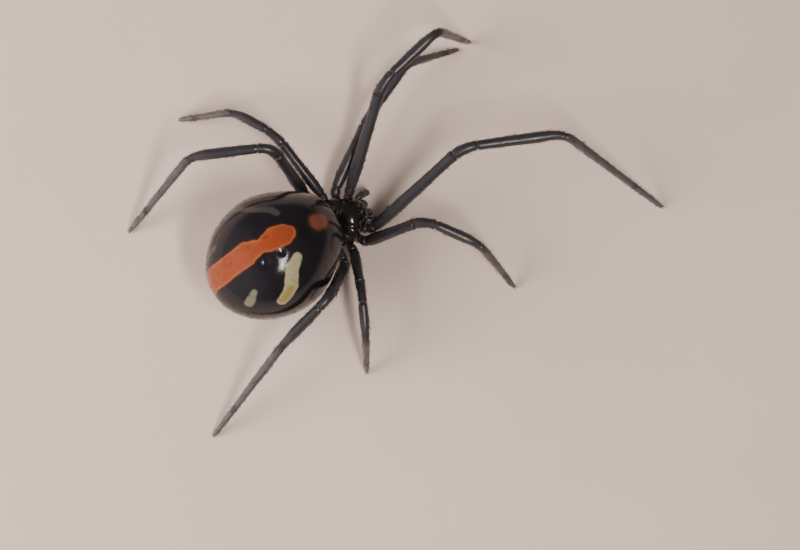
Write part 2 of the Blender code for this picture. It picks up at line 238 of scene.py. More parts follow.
def add_grain(tree, shader, place, pattern, gloss, strength):
    """Fine leathery grain: the roughness wanders between two values and the surface rises with it."""
    grain = add_node(tree, "ShaderNodeTexNoise", {}, {"Vector": place, **pattern}).outputs["Fac"]
    uneven = add_node(
        tree, "ShaderNodeMapRange", {}, {"Value": grain, "To Min": gloss[0], "To Max": gloss[1]}
    )
    tree.links.new(uneven.outputs["Result"], shader.inputs["Roughness"])
    add_bump(tree, shader, grain, GRAIN_DEPTH, strength)


print("a grain of 0.06 mm has the scale", round(per_mm(0.06)))

# %% [markdown]
# ## Leg cuticle
# A spider's leg is a tube of chitin, black and fairly glossy with a fine grain. It pales to brown towards the
# foot, where the wall is thin, and at each joint a strip of soft, dull membrane shows. A material for each
# zone would end in hard edges, so the leg's own mesh carries the zones as attributes: tone from black to
# brown, the pale band under the shin, and membrane at the joints. The shader lays one over the other, and
# they follow the leg wherever it bends.

# %% Leg material
LEG_BLACKS = ("#141216", "#2C272D")
LEG_BLOTCHES = {"Scale": per_mm(0.8), "Detail": 4.0, "Roughness": 0.6}
LEG_ZONES = (("tone", "#655C5B"), ("pale_band", "#937658"), ("membrane", "#332B29"))
LEG_GRAIN = {"Scale": per_mm(0.06), "Detail": 3.0}
LEG_GLOSS = (0.26, 0.46)
LEG_GRAIN_STRENGTH = 0.35


def make_leg_material():
    material, tree, shader, place = start_material("chitin_leg_glossy_grown", 0.34, CHITIN_IOR)
    surface, _ = two_tints(tree, place, LEG_BLOTCHES, *LEG_BLACKS)
    for attribute, paint in LEG_ZONES:
        zone = add_node(tree, "ShaderNodeAttribute", {"attribute_name": attribute}, {})
        surface = add_node(
            tree, "ShaderNodeMix", COLOUR_MIX,
            {0: zone.outputs["Fac"], MIX_A: surface, MIX_B: colour(paint)},
        ).outputs[MIX_RESULT]
    tree.links.new(surface, shader.inputs["Base Color"])
    add_grain(tree, shader, place, LEG_GRAIN, LEG_GLOSS, LEG_GRAIN_STRENGTH)
    return material


leg_material = make_leg_material()
print("made", leg_material.name)

# %% [markdown]
# ## Hair, claws and the smaller parts
# They are the same chitin, drawn out thin, hardened or left soft. The hairs are dark brown and a little
# rough, the claws and fangs are nearly black, red-brown where light shines through, and polished by use, and
# the membrane and the spinnerets are dull and pleated. One function with other tints and another roughness
# makes them all, because they differ in nothing else.

# %% Plain chitin
PATCH_DEPTH = 0.01
PATCH_STRENGTH = 0.3


def make_plain_chitin(name, dark, light, patch_size, roughness):
    material, tree, shader, place = start_material(name, roughness, CHITIN_IOR)
    tint, patches = two_tints(tree, place, {"Scale": per_mm(patch_size), "Detail": 3.0}, dark, light)
    tree.links.new(tint, shader.inputs["Base Color"])
    add_bump(tree, shader, patches, PATCH_DEPTH, PATCH_STRENGTH)
    return material


hair_material = make_plain_chitin("chitin_hair_bristle", "#17110F", "#3A2D26", 0.5, 0.5)
claw_material = make_plain_chitin("chitin_claw_polished", "#120A08", "#3B1A10", 0.15, 0.18)
membrane_material = make_plain_chitin("chitin_membrane_soft", "#1B1513", "#3D312B", 0.12, 0.6)
spinneret_material = make_plain_chitin("chitin_spinneret_pleated", "#1A1211", "#3E2D25", 0.08, 0.42)
carapace_material = make_plain_chitin("chitin_shield_polished", "#0F0B0B", "#231B1A", 0.45, 0.17)
print("made", hair_material.name, claw_material.name, membrane_material.name)
print("made", spinneret_material.name, carapace_material.name)

# %% [markdown]
# ## Centre lines
# A leg, a palp, a jaw and a spinneret are all limbs: a centre line with a radius along it. The line runs
# through a few corners, and each corner is rounded by a quadratic curve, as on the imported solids, only with
# more points, so that no facet shows. A curve object could hold the line too, but lengths along it, where
# joints and bristles go, are easier to read from a list of points.

# %% Lines with rounded corners
BEND_STEPS = 16
LARGEST_BEND_SHARE = 0.45


def direction(yaw, pitch, side):
    """Unit vector for a yaw from straight ahead (-Y) towards the given side, and a pitch."""
    level = math.cos(math.radians(pitch))
    turn = math.radians(yaw)
    return Vector((side * math.sin(turn) * level, -math.cos(turn) * level, math.sin(math.radians(pitch))))


def smooth_line(corners, reaches):
    """Each corner is rounded over its reach, but never over more than a share of the stretches beside it."""
    line = [corners[0]]
    for before, corner, after, reach in zip(corners, corners[1:], corners[2:], reaches):
        back = before - corner
        onward = after - corner
        start = corner + back.normalized() * min(reach, back.length * LARGEST_BEND_SHARE)
        end = corner + onward.normalized() * min(reach, onward.length * LARGEST_BEND_SHARE)
        for step in range(BEND_STEPS + 1):
            t = step / BEND_STEPS
            line.append(start * (1 - t) ** 2 + corner * (2 * t * (1 - t)) + end * t**2)
    line.append(corners[-1])
    return line


def length_marks(line):
    """Distance along the line of each of its points."""
    marks = [0.0]
    for one, other in zip(line, line[1:]):
        marks.append(marks[-1] + (other - one).length)
    return marks


def point_at(line, marks, distance):
    distance = min(max(distance, 0.0), marks[-1])
    index = 1
    while marks[index] < distance:
        index += 1
    share = (distance - marks[index - 1]) / (marks[index] - marks[index - 1])
    return line[index - 1].lerp(line[index], share)


def ease(share):
    """Smooth step from 0 to 1."""
    share = min(1.0, max(0.0, share))
    return share * share * (3 - 2 * share)


def eased_value(pairs, distance):
    """Value at a distance from a list of (distance, value) pairs, eased between them."""
    if distance <= pairs[0][0]:
        return pairs[0][1]
    for (near, first), (far, second) in zip(pairs, pairs[1:]):
        if distance <= far:
            return first + (second - first) * ease((distance - near) / (far - near))
    return pairs[-1][1]


test_line = smooth_line([Vector((0, 0, 0)), Vector((1, 0, 0)), Vector((1, 1, 0))], [0.3])
print("a bent test line is", round(length_marks(test_line)[-1], 3), "mm long")

# %% [markdown]
# ## Stations along a limb
# At a joint the near segment ends in a slightly swollen cuff, and the next one starts narrower inside it,
# with membrane between. That needs rings close together there and allows wider gaps elsewhere. Each ring
# stands square to the line, and its turn is carried on from the ring before, so the skin never twists.

# %% Joints, stations and turns
CUFF_SWELL = 0.07
CUFF_LENGTH = 0.13
JOINT_WAIST = 0.20
JOINT_WAIST_LENGTH = 0.035
JOINT_RECOVERY = 0.17
JOINT_STEP = 0.022
JOINT_REACH = 0.20
HEADING_REACH = 0.03


def joint_shape(distance, joints):
    """How much a joint narrows or swells the limb, and how much membrane shows, at this distance."""
    factor = 1.0
    soft = 0.0
    for joint in joints:
        past = distance - joint
        if -CUFF_LENGTH * 2 < past <= 0:
            factor += CUFF_SWELL * math.exp(-((past / CUFF_LENGTH) ** 2) * 2)
        elif 0 < past < JOINT_RECOVERY * 2:
            drop = ease(past / JOINT_WAIST_LENGTH) * (1 - ease((past - JOINT_WAIST_LENGTH) / JOINT_RECOVERY))
            factor += CUFF_SWELL * (1 - ease(past / JOINT_WAIST_LENGTH))
            factor -= JOINT_WAIST * drop
            soft = max(soft, drop**2)
    return factor, soft


def limb_stations(start, end, joints, step):
    places = list(np.arange(start, end, step)) + [end]
    for joint in joints:
        fine = np.arange(joint - JOINT_REACH, joint + JOINT_REACH, JOINT_STEP)
        places = [place for place in places if abs(place - joint) > JOINT_REACH]
        places += [place for place in fine if start < place < end]
    places.sort()
    return places


def limb_frames(line, places):
    """For each place, its point on the line and the turn of a ring that stands square to the line there."""
    marks = length_marks(line)
    frames = []
    turn = None
    heading = None
    for place in places:
        ahead = point_at(line, marks, place + HEADING_REACH)
        behind = point_at(line, marks, place - HEADING_REACH)
        new_heading = (ahead - behind).normalized()
        if turn is None:
            turn = new_heading.to_track_quat("Z", "Y")
        else:
            turn = heading.rotation_difference(new_heading) @ turn
        heading = new_heading
        frames.append((point_at(line, marks, place), turn.copy()))
    return frames


print("swell just before a joint:", round(joint_shape(-0.01, [0.0])[0], 3))
print("waist just after it:", round(joint_shape(0.04, [0.0])[0], 3))

# %% [markdown]
# ## Sweeping a skin along a line
# A curve with a bevel would make a tube, but it can't swell at the joints or carry the zones of the leg. So a
# ring of edges is extruded from station to station instead, and sized and turned at each one. The far end is
# drawn in to a small cap, which the last ring's edges close.

# %% Sweep a skin
def extruded_ring(bm, edges):
    """The new ring's points and edges after the old ring's edges are extruded in place."""
    grown = bmesh.ops.extrude_edge_only(bm, edges=edges)["geom"]
    ring = [item for item in grown if isinstance(item, bmesh.types.BMVert)]
    inside = set(ring)
    new_edges = [item for item in grown if isinstance(item, bmesh.types.BMEdge)]
    return ring, [edge for edge in new_edges if inside.issuperset(edge.verts)]


def sweep_skin(line, profile, joints, start, end, step, sides, tip_share=0.35):
    """A closed skin along a line. Each ring keeps its distance along the line in a vertex attribute."""
    places = limb_stations(start, end, joints, step)
    end_radius = eased_value(profile, end)
    bm = bmesh.new()
    along = bm.verts.layers.float.new("along")
    membrane = bm.verts.layers.float.new("membrane")
    ring = bmesh.ops.create_circle(bm, cap_ends=True, segments=sides, radius=1.0)["verts"]
    edges = bm.edges[:]
    last = Matrix.Identity(4)
    for index, (place, (point, turn)) in enumerate(zip(places, limb_frames(line, places))):
        factor, soft = joint_shape(place, joints)
        radius = eased_value(profile, place) * factor
        to_end = end - place
        if to_end < end_radius:
            radius *= max(tip_share, math.sqrt(max(0.0, 1 - (1 - to_end / end_radius) ** 2)))
        matrix = Matrix.Translation(point) @ turn.to_matrix().to_4x4() @ Matrix.Scale(radius, 4)
        if index > 0:
            ring, edges = extruded_ring(bm, edges)
        bmesh.ops.transform(bm, matrix=matrix @ last.inverted(), verts=ring)
        last = matrix
        for vert in ring:
            vert[along] = place
            vert[membrane] = soft
    bmesh.ops.contextual_create(bm, geom=edges)
    return bm


test_skin = sweep_skin(test_line, [(0.0, 0.1)], [], 0.0, length_marks(test_line)[-1], 0.1, 12)
print("a skin along the test line has", len(test_skin.faces), "faces")
test_skin.free()

# %% [markdown]
# ## The stance
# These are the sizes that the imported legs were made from: where each hip is, which way each stretch points
# and how long it is. A femur or tibia has a yaw, a pitch and a length, and a foot a yaw and a length. Yaw is
# from straight ahead towards the leg's own side and pitch is above the horizon. The foot slopes so that its
# tip reaches the floor.

# %% Stance of the eight legs
HIP_HEIGHT = 1.45
COXA_ROOT_HEIGHT = 1.22
COXA_ROOT_ELLIPSE = (0.80, 1.06)
HIPS = {1: (1.13, -1.08), 2: (1.50, -0.42), 3: (1.50, 0.20), 4: (2.00, 0.92)}
COXA_YAWS = {1: 54.0, 2: 79.0, 3: 105.0, 4: 140.0}
STANCE = {
    "right_1": {"femur": (-10, 25, 6.5), "tibia": (22, -3, 5.15), "foot": (63, 7.15)},
    "right_2": {"femur": (14, 36, 3.85), "tibia": (53, -9, 3.05), "foot": (75, 4.1)},
    "right_3": {"femur": (110, 39, 3.15), "tibia": (115, -17, 2.35), "foot": (118, 3.1)},
    "right_4": {"femur": (141, 60, 4.65), "tibia": (167, -31, 3.7), "foot": (160, 6.55)},
    "left_1": {"femur": (42, 29, 6.05), "tibia": (13, 6, 3.8), "foot": (-27, 5.05)},
    "left_2": {"femur": (35, 7, 4.15), "tibia": (25, -3, 3.25), "foot": (-10, 3.4)},
    "left_3": {"femur": (99, 22, 4.1), "tibia": (119, -16, 2.5), "foot": (152, 3.65)},
    "left_4": {"femur": (100, 53, 4.35), "tibia": (155, -14, 4.25), "foot": (-163, 6.0)},
}


def leg_corners(name):
    side = 1 if name.startswith("left") else -1
    pair = int(name[-1])
    yaw = math.radians(COXA_YAWS[pair])
    across, along = COXA_ROOT_ELLIPSE
    root = Vector((side * across * math.sin(yaw), -along * math.cos(yaw), COXA_ROOT_HEIGHT))
    hip = mirrored((*HIPS[pair], HIP_HEIGHT), side)
    pose = STANCE[name]
    knee = hip + direction(pose["femur"][0], pose["femur"][1], side) * pose["femur"][2]
    ankle = knee + direction(pose["tibia"][0], pose["tibia"][1], side) * pose["tibia"][2]
    foot_yaw, foot_length = pose["foot"]
    foot_pitch = -math.degrees(math.asin(ankle.z / foot_length))
    toe = ankle + direction(foot_yaw, foot_pitch, side) * foot_length
    return [root, hip, knee, ankle, toe]


for leg_name in STANCE:
    print(leg_name, "knee height", round(leg_corners(leg_name)[2].z, 2), "mm")

# %% [markdown]
# ## Plan of a leg
# A leg has seven segments: coxa, trochanter, femur, kneecap, shin, metatarsus and tarsus. The plan of one leg
# gives its centre line, its radii, as shares of four longer stretches, and the distance along the line at
# which each segment ends. Everything that is put on the leg later reads its place from this plan.

# %% Plan of a leg
THICKNESS = {1: 1.0, 2: 0.94, 3: 0.86, 4: 0.98}
BEND_REACHES = [0.45, 0.85, 0.70]
LEG_RADII = (
    ("coxa", 0.0, 0.18),
    ("coxa", 0.7, 0.24),
    ("coxa", 1.0, 0.25),
    ("femur", 0.25, 0.31),
    ("femur", 0.85, 0.27),
    ("femur", 1.0, 0.29),
    ("tibia", 0.25, 0.25),
    ("tibia", 0.75, 0.28),
    ("tibia", 1.0, 0.22),
    ("foot", 0.1, 0.22),
    ("foot", 0.7, 0.165),
    ("foot", 1.0, 0.11),
)
KNEE_START = 0.62
KNEECAP_END = {1: 0.62, 2: 0.52, 3: 0.42, 4: 0.55}
TROCHANTER = (-0.26, 0.14)
METATARSUS_SHARE = 0.70
CLAW_HEIGHT = 0.10


def leg_plan(name):
    """Centre line, radius profile and the distances of the named places along one leg."""
    corners = leg_corners(name)
    line = smooth_line(corners, BEND_REACHES)
    marks = length_marks(line)
    places = []
    for corner in corners[1:-1]:
        nearest = min(range(len(line)), key=lambda index: (line[index] - corner).length)
        places.append(marks[nearest])
    hip, knee, ankle = places
    stretches = {
        "coxa": (0.0, hip),
        "femur": (hip, knee - KNEE_START),
        "tibia": (knee - KNEE_START, ankle),
        "foot": (ankle, marks[-1]),
    }
    pair = int(name[-1])
    profile = []
    for stretch, share, radius in LEG_RADII:
        start, end = stretches[stretch]
        profile.append((start + (end - start) * share, radius * THICKNESS[pair]))
    foot_slope = corners[3].z / STANCE[name]["foot"][1]
    return {
        "line": line,
        "profile": profile,
        "start": 0.0,
        "coxa_end": hip + TROCHANTER[0],
        "trochanter_end": hip + TROCHANTER[1],
        "femur_end": knee - KNEE_START,
        "kneecap_end": knee + KNEECAP_END[pair],
        "tibia_end": ankle,
        "metatarsus_end": ankle + (marks[-1] - ankle) * METATARSUS_SHARE,
        "end": marks[-1] - CLAW_HEIGHT / foot_slope,
        "toe_direction": (corners[4] - corners[3]).normalized(),
    }


LEG_PLANS = {name: leg_plan(name) for name in STANCE}
for leg_name, plan in LEG_PLANS.items():
    print(leg_name, "is", round(plan["end"], 2), "mm long")

# %% [markdown]
# ## The legs
# One skin covers the seven segments, so that no cut shows. Its tone runs from black on the femur to brown on
# the foot, the far end of each long segment is darker, and the underside of the shin has a pale band near the
# knee, as in the photo. Painting an image would need a map of the skin, and a value for each of its points is
# enough here.

# %% Leg skins
LEG_SIDES = 28
LEG_STEP = 0.11
LEG_JOINTS = ("coxa_end", "trochanter_end", "femur_end", "kneecap_end", "tibia_end", "metatarsus_end")
# Each tone has a place of the plan, how far past it the tone is reached, and its value: 0 is black, 1 brown.
LEG_TONES = (
    ("start", 0.0, 0.30),
    ("trochanter_end", 0.0, 0.12),
    ("femur_end", -1.0, 0.08),
    ("kneecap_end", 0.0, 0.05),
    ("tibia_end", -1.2, 0.10),
    ("tibia_end", 0.0, 0.22),
    ("tibia_end", 0.8, 0.58),
    ("metatarsus_end", 0.0, 0.72),
    ("end", 0.0, 0.85),
)
DARK_END_LENGTH = 0.45
DARK_END_SHARE = 0.45
PALE_BAND_START = 0.10
PALE_BAND_LENGTH = 1.05
PALE_BAND_FADES = (0.25, 0.30)
PALE_BAND_STRENGTH = 0.75
UNDERSIDE_SLOPE = 1.3
UNDERSIDE_START = 0.25


def leg_tone(plan, distance):
    tone = eased_value([(plan[place] + past, value) for place, past, value in LEG_TONES], distance)
    for end in ("femur_end", "tibia_end", "metatarsus_end"):
        before = plan[end] - distance
        if 0 <= before < DARK_END_LENGTH:
            tone *= DARK_END_SHARE + (1 - DARK_END_SHARE) * ease(before / DARK_END_LENGTH)
    return tone


def pale_band_at(plan, distance):
    start = plan["kneecap_end"] + PALE_BAND_START
    end = start + PALE_BAND_LENGTH
    return ease((distance - start) / PALE_BAND_FADES[0]) * ease((end - distance) / PALE_BAND_FADES[1])


def paint_leg(bm, plan):
    along = bm.verts.layers.float["along"]
    tone = bm.verts.layers.float.new("tone")
    band = bm.verts.layers.float.new("pale_band")
    bm.normal_update()
    for vert in bm.verts:
        below = ease(-vert.normal.z * UNDERSIDE_SLOPE + UNDERSIDE_START)
        vert[tone] = leg_tone(plan, vert[along])
        vert[band] = PALE_BAND_STRENGTH * pale_band_at(plan, vert[along]) * below


def make_leg_skin(name, plan):
    joints = [plan[joint] for joint in LEG_JOINTS]
    bm = sweep_skin(plan["line"], plan["profile"], joints, 0.0, plan["end"], LEG_STEP, LEG_SIDES)
    bmesh.ops.recalc_face_normals(bm, faces=bm.faces)
    paint_leg(bm, plan)
    leg = finish_piece(bm, "leg_skin_" + name, leg_material)
    nodes = ["leg_" + name + "_" + stretch for stretch in ("coxa", "femur", "tibia", "foot")]
    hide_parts(*nodes)


for leg_name, plan in LEG_PLANS.items():
    make_leg_skin(leg_name, plan)

# %% [markdown]
# ## Hairs
# The legs carry short, slanting bristles, close enough to blur the outline a little. A hair system would draw
# them quickly, but an export drops it. So one bristle is modelled, a thin cone with two rings where it can
# bend, and thousands of bent, turned and scaled copies of its points are joined in one mesh through arrays.
# Each copy has its own small patch in the map that the finish is baked to, at its root's place.

# %% One bristle, copied many times
BRISTLE_THICKNESS = 0.011
BRISTLE_TIP_SHARE = 0.12
BRISTLE_RINGS = (0.35, 0.7)
BRISTLE_FORWARD = 0.72
BRISTLE_UPWARD = 0.62
BRISTLE_BEND = 0.22
PATCH_SIZE = 0.003


def make_bristle():
    """Points and faces of a straight bristle one unit long, standing along Z."""
    bm = bmesh.new()
    bmesh.ops.create_cone(
        bm, cap_ends=True, cap_tris=True, segments=3, radius1=1.0, radius2=BRISTLE_TIP_SHARE, depth=1.0
    )
    bmesh.ops.translate(bm, verts=bm.verts, vec=(0, 0, 0.5))
    for height in BRISTLE_RINGS:
        geometry = bm.verts[:] + bm.edges[:] + bm.faces[:]
        bmesh.ops.bisect_plane(bm, geom=geometry, plane_co=(0, 0, height), plane_no=(0, 0, 1))
    bmesh.ops.triangulate(bm, faces=bm.faces)
    bmesh.ops.recalc_face_normals(bm, faces=bm.faces)
    bm.verts.index_update()
    points = np.array([vert.co[:] for vert in bm.verts])
    faces = np.array([[vert.index for vert in face.verts] for face in bm.faces])
    bm.free()
    return points, faces


bristle_points, bristle_faces = make_bristle()
print("a bristle has", len(bristle_faces), "faces")


def root_places(across, along):
    """Where the roots lie in the bake map, from two shares of the skin, a patch clear of the map's edges."""
    return PATCH_SIZE + np.stack([across, along], axis=1) * (1 - 2 * PATCH_SIZE)


def add_bristles(name, roots, outward, lean, lengths, root_map, thickness=BRISTLE_THICKNESS):
    """Joins one bristle for each root, standing outward and bending towards its lean."""
    outward = outward / np.linalg.norm(outward, axis=1, keepdims=True)
    lean = lean - outward * np.sum(lean * outward, axis=1, keepdims=True)
    lean = lean / np.linalg.norm(lean, axis=1, keepdims=True)
    across = np.cross(outward, lean)
    wide, deep, rise = bristle_points.T
    bend = BRISTLE_BEND * rise**2
    forward = wide * thickness + lengths[:, None] * (BRISTLE_FORWARD * rise + bend)
    upward = lengths[:, None] * (BRISTLE_UPWARD * rise - bend) - wide * thickness
    points = (
        roots[:, None, :]
        + lean[:, None, :] * forward[:, :, None]
        + outward[:, None, :] * upward[:, :, None]
        + across[:, None, :] * (deep * thickness)[None, :, None]
    )
    faces = bristle_faces[None, :, :] + (np.arange(len(roots)) * len(bristle_points))[:, None, None]
    mesh = bpy.data.meshes.new(name)
    mesh.from_pydata(points.reshape(-1, 3).tolist(), [], faces.reshape(-1, 3).tolist())
    layer = mesh.uv_layers.new(name="OFBake")
    patch = (bristle_points[bristle_faces.reshape(-1)][:, (0, 2)] - (0.0, 0.5)) * PATCH_SIZE / 2
    layer.data.foreach_set("uv", (root_map[:, None, :] + patch[None, :, :]).astype(np.float32).ravel())
    finish_mesh(mesh, name, hair_material)
    print(name, len(roots), "bristles")


# %% [markdown]
# ## Bristles on the legs
# They grow all round each leg, lean towards the foot and shorten at its tip. Their roots are drawn from a
# seeded generator, so every run gives the same coat.

# %% Leg bristles
BRISTLES_PER_MM = 46
BRISTLE_LENGTHS = (0.13, 0.27)
BRISTLE_STRAY = 0.25
ROOT_DEPTH = 0.012
SHORTENING_LENGTH = 0.5
SHORTEST_SHARE = 0.35
BARE_TIP = 0.03
LEG_SEED = 100


def grow_on_limb(name, line, profile, start, end, per_length, lengths, seed):
    draw = np.random.default_rng(seed)
    count = int((end - start) * per_length)
    places = np.sort(draw.uniform(start, end, count))
    angles = draw.uniform(0, 2 * math.pi, count)
    sizes = draw.uniform(lengths[0], lengths[1], count)
    roots = []
    outward = []
    lean = []
    for (point, turn), place, angle in zip(limb_frames(line, places), places, angles):
        out = turn @ Vector((math.cos(angle), math.sin(angle), 0.0))
        roots.append(point + out * (eased_value(profile, place) - ROOT_DEPTH))
        outward.append(out)
        lean.append(turn @ Vector((BRISTLE_STRAY * math.sin(angle * 3), 0.0, 1.0)))
    sizes *= np.clip((end - places) / SHORTENING_LENGTH, SHORTEST_SHARE, 1.0)
    root_map = root_places(angles / (2 * math.pi), (places - start) / (end - start))
    add_bristles(name, np.array(roots), np.array(outward), np.array(lean), sizes, root_map)


for number, (leg_name, plan) in enumerate(LEG_PLANS.items()):
    grow_on_limb(
        "leg_bristles_" + leg_name, plan["line"], plan["profile"], plan["coxa_end"], plan["end"] - BARE_TIP,
        BRISTLES_PER_MM, BRISTLE_LENGTHS, LEG_SEED + number,
    )

# %% [markdown]
# ## Claws
# Each foot ends in a pair of tiny curved claws that come down to the floor. A claw is a short limb itself, so
# the same sweep makes it, from inside the end of the tarsus outward and then down.

# %% Claws
CLAW_RADIUS = 0.032
CLAW_TIP_RADIUS = 0.008
CLAW_SIDES = 10
CLAW_STEP = 0.02
CLAW_ROOT_SPREAD = 0.035
CLAW_ROOT_DEPTH = 0.05
CLAW_BEND_SPREAD = 0.025
CLAW_BEND_AHEAD = 0.12
CLAW_BEND_REACH = 0.08
CLAW_TIP_AHEAD = 0.02
CLAW_CLEARANCE = 0.018


def make_claws(name, plan):
    tip = point_at(plan["line"], length_marks(plan["line"]), plan["end"])
    ahead = plan["toe_direction"]
    level = Vector((ahead.x, ahead.y, 0)).normalized()
    across = Vector((-level.y, level.x, 0))
    joined = bmesh.new()
    for side, word in SIDES:
        root = tip + across * (side * CLAW_ROOT_SPREAD) - ahead * CLAW_ROOT_DEPTH
        bend = root + level * CLAW_BEND_AHEAD + across * (side * CLAW_BEND_SPREAD)
        point = bend + level * CLAW_TIP_AHEAD
        point.z = CLAW_CLEARANCE + CLAW_TIP_RADIUS
        line = smooth_line([root, bend, point], [CLAW_BEND_REACH])
        length = length_marks(line)[-1]
        profile = [(0.0, CLAW_RADIUS), (length, CLAW_TIP_RADIUS)]
        claw = sweep_skin(line, profile, [], 0.0, length, CLAW_STEP, CLAW_SIDES)
        piece = bpy.data.meshes.new("claw_" + word)
        claw.to_mesh(piece)
        claw.free()
        joined.from_mesh(piece)
        bpy.data.meshes.remove(piece)
    finish_piece(joined, "claws_" + name, claw_material)


for leg_name, plan in LEG_PLANS.items():
    make_claws(leg_name, plan)

# %% [markdown]
# ## Shape of the abdomen
# The abdomen is a glossy egg, wide and round in front and drawn in towards the spinnerets. Subdividing a
# coarse cage could give such a form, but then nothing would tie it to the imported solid. So it starts as a
# fine ball, and the same function as on the solid shapes it.

# %% Abdomen shape
ABDOMEN_SIZE = Vector((6.2, 7.3, 5.9))
ABDOMEN_CENTRE = Vector((-0.06, 3.90, 4.00))
ABDOMEN_YAW = math.radians(7.0)
ABDOMEN_TURN = Matrix.Rotation(ABDOMEN_YAW, 4, "Z")
REAR_TAPER = 0.05
FRONT_TAPER = 0.35
WAIST = 0.60


def unit_ball(sectors, rings):
    """A fine ball of radius 1 whose axis runs along Y."""
    bm = bmesh.new()
    bmesh.ops.create_uvsphere(bm, u_segments=sectors, v_segments=rings, radius=1.0)
    bmesh.ops.rotate(bm, verts=bm.verts, cent=(0, 0, 0), matrix=Matrix.Rotation(math.pi / 2, 3, "X"))
    return bm


def abdomen_form(point):
    """Place in the abdomen's own millimetres of a point of the unit ball."""
    taper = 1 - REAR_TAPER * max(0.0, point.y) ** 2
    ahead = max(0.0, -point.y) ** 2
    narrowing = 1 - FRONT_TAPER * ahead * (1 - ahead)
    waist = 1 - WAIST * max(0.0, -point.y) * max(0.0, -point.z)
    across = point.x * taper * narrowing * waist
    return Vector((across * ABDOMEN_SIZE.x, point.y * ABDOMEN_SIZE.y, point.z * taper * ABDOMEN_SIZE.z)) / 2


def abdomen_outward(place):
    """Direction straight out of the skin at a place, close enough to that of a plain ellipsoid."""
    squares = (ABDOMEN_SIZE.x**2, ABDOMEN_SIZE.y**2, ABDOMEN_SIZE.z**2)
    return Vector([value / square for value, square in zip(place, squares)]).normalized()


def ball_point(bearing, along):
    """Point of the unit ball from a bearing, 0 at the top and positive to the left, and a Y place in mm."""
    y = max(-1.0, min(1.0, along / (ABDOMEN_SIZE.y / 2)))
    ring = math.sqrt(1 - y * y)
    turn = math.radians(bearing)
    return Vector((math.sin(turn) * ring, y, math.cos(turn) * ring))


print("top of the abdomen in mm:", round(ABDOMEN_CENTRE.z + abdomen_form(Vector((0, 0, 1))).z, 2))

# %% [markdown]
# ## Markings of the abdomen
# An orange stripe with a narrow waist runs along the back, and a red-orange spot sits in front of it. A cream
# bar with a yellow end and a small green-grey patch slant down the right flank, their faint likes are on the
# left flank, and the red hourglass is underneath. An image could hold all this, but it would blur close up.
# So each marking is a stroke: a few points on the skin, each with a bearing, a place along the abdomen and a
# half width. The skin stores its distance to each stroke's edge in millimetres, and the shader turns that
# into a crisp edge. The whole pattern is rolled slightly to the left.

# %% Strokes on the skin
MARKING_ROLL = 3.5
STRIPE = (
    (-1.0, -0.98, 0.40),
    (0.5, -0.70, 0.55),
    (2.5, -0.30, 0.61),
    (3.0, 0.10, 0.50),
    (4.5, 0.58, 0.35),
    (6.5, 0.92, 0.49),
    (8.0, 1.35, 0.62),
    (10.5, 2.10, 0.60),
    (17.0, 2.85, 0.62),
    (32.0, 3.30, 0.60),
    (75.0, 3.58, 0.52),
)
SPOT = ((-9.0, -2.48, 0.42), (-12.0, -2.74, 0.42))
RIGHT_BAR = (
    (-25.0, -0.62, 0.23),
    (-27.0, -0.38, 0.28),
    (-30.0, -0.06, 0.31),
    (-37.0, 0.20, 0.33),
    (-45.0, 0.46, 0.34),
    (-51.5, 0.88, 0.30),
    (-55.5, 1.22, 0.26),
)
RIGHT_BAR_END = ((-46.0, 0.52, 0.16), (-51.5, 0.88, 0.19), (-55.0, 1.16, 0.17))
RIGHT_PATCH = ((-31.0, 2.10, 0.12), (-38.0, 2.40, 0.20), (-44.5, 2.62, 0.21))
LEFT_BAR = ((24.0, -1.13, 0.16), (31.0, -1.00, 0.19), (41.0, -0.36, 0.16), (60.0, 0.30, 0.12))
LEFT_PATCH = ((50.0, 2.30, 0.14), (60.0, 2.66, 0.15))
HOURGLASS_FRONT = ((180.0, -0.55, 0.62), (180.0, 0.45, 0.12))
HOURGLASS_REAR = ((180.0, 0.45, 0.12), (180.0, 1.35, 0.52))
MARKINGS = {
    "orange_edge": (STRIPE,),
    "spot_edge": (SPOT,),
    "cream_edge": (RIGHT_BAR,),
    "yellow_edge": (RIGHT_BAR_END,),
    "green_edge": (RIGHT_PATCH,),
    "grey_edge": (LEFT_BAR, LEFT_PATCH),
    "hourglass_edge": (HOURGLASS_FRONT, HOURGLASS_REAR),
}


def stroke_distance(places, stroke):
    """Distance in mm from each place to a stroke's edge, negative inside."""
    ends = []
    for bearing, along, width in stroke:
        ends.append((np.array(abdomen_form(ball_point(bearing + MARKING_ROLL, along))), width))
    distances = []
    for (first, near_width), (second, far_width) in zip(ends, ends[1:]):
        way = second - first
        share = np.clip((places - first) @ way / (way @ way), 0.0, 1.0)
        nearest = first + share[:, None] * way
        width = near_width + (far_width - near_width) * share
        distances.append(np.linalg.norm(places - nearest, axis=1) - width)
    return np.min(distances, axis=0)


def store_markings(mesh, places):
    for name, strokes in MARKINGS.items():
        edge = np.min([stroke_distance(places, stroke) for stroke in strokes], axis=0)
        layer = mesh.attributes.new(name, "FLOAT", "POINT")
        layer.data.foreach_set("value", edge.astype(np.float32))


print(len(MARKINGS), "markings, with a stripe of", round(STRIPE[-1][1] - STRIPE[0][1], 2), "mm")

# %% [markdown]
# ## Skin of the abdomen
# The skin is black, thin and tight, with a fine leathery grain and a strong gloss, so the highlights do most
# of the work. Its specular level is turned down, or the pale floor would show too brightly in its front. The
# colours lie under the gloss, in the same skin: they change its colour but not its shine. A little noise is
# added to each distance, because a real marking's edge is never ruled.

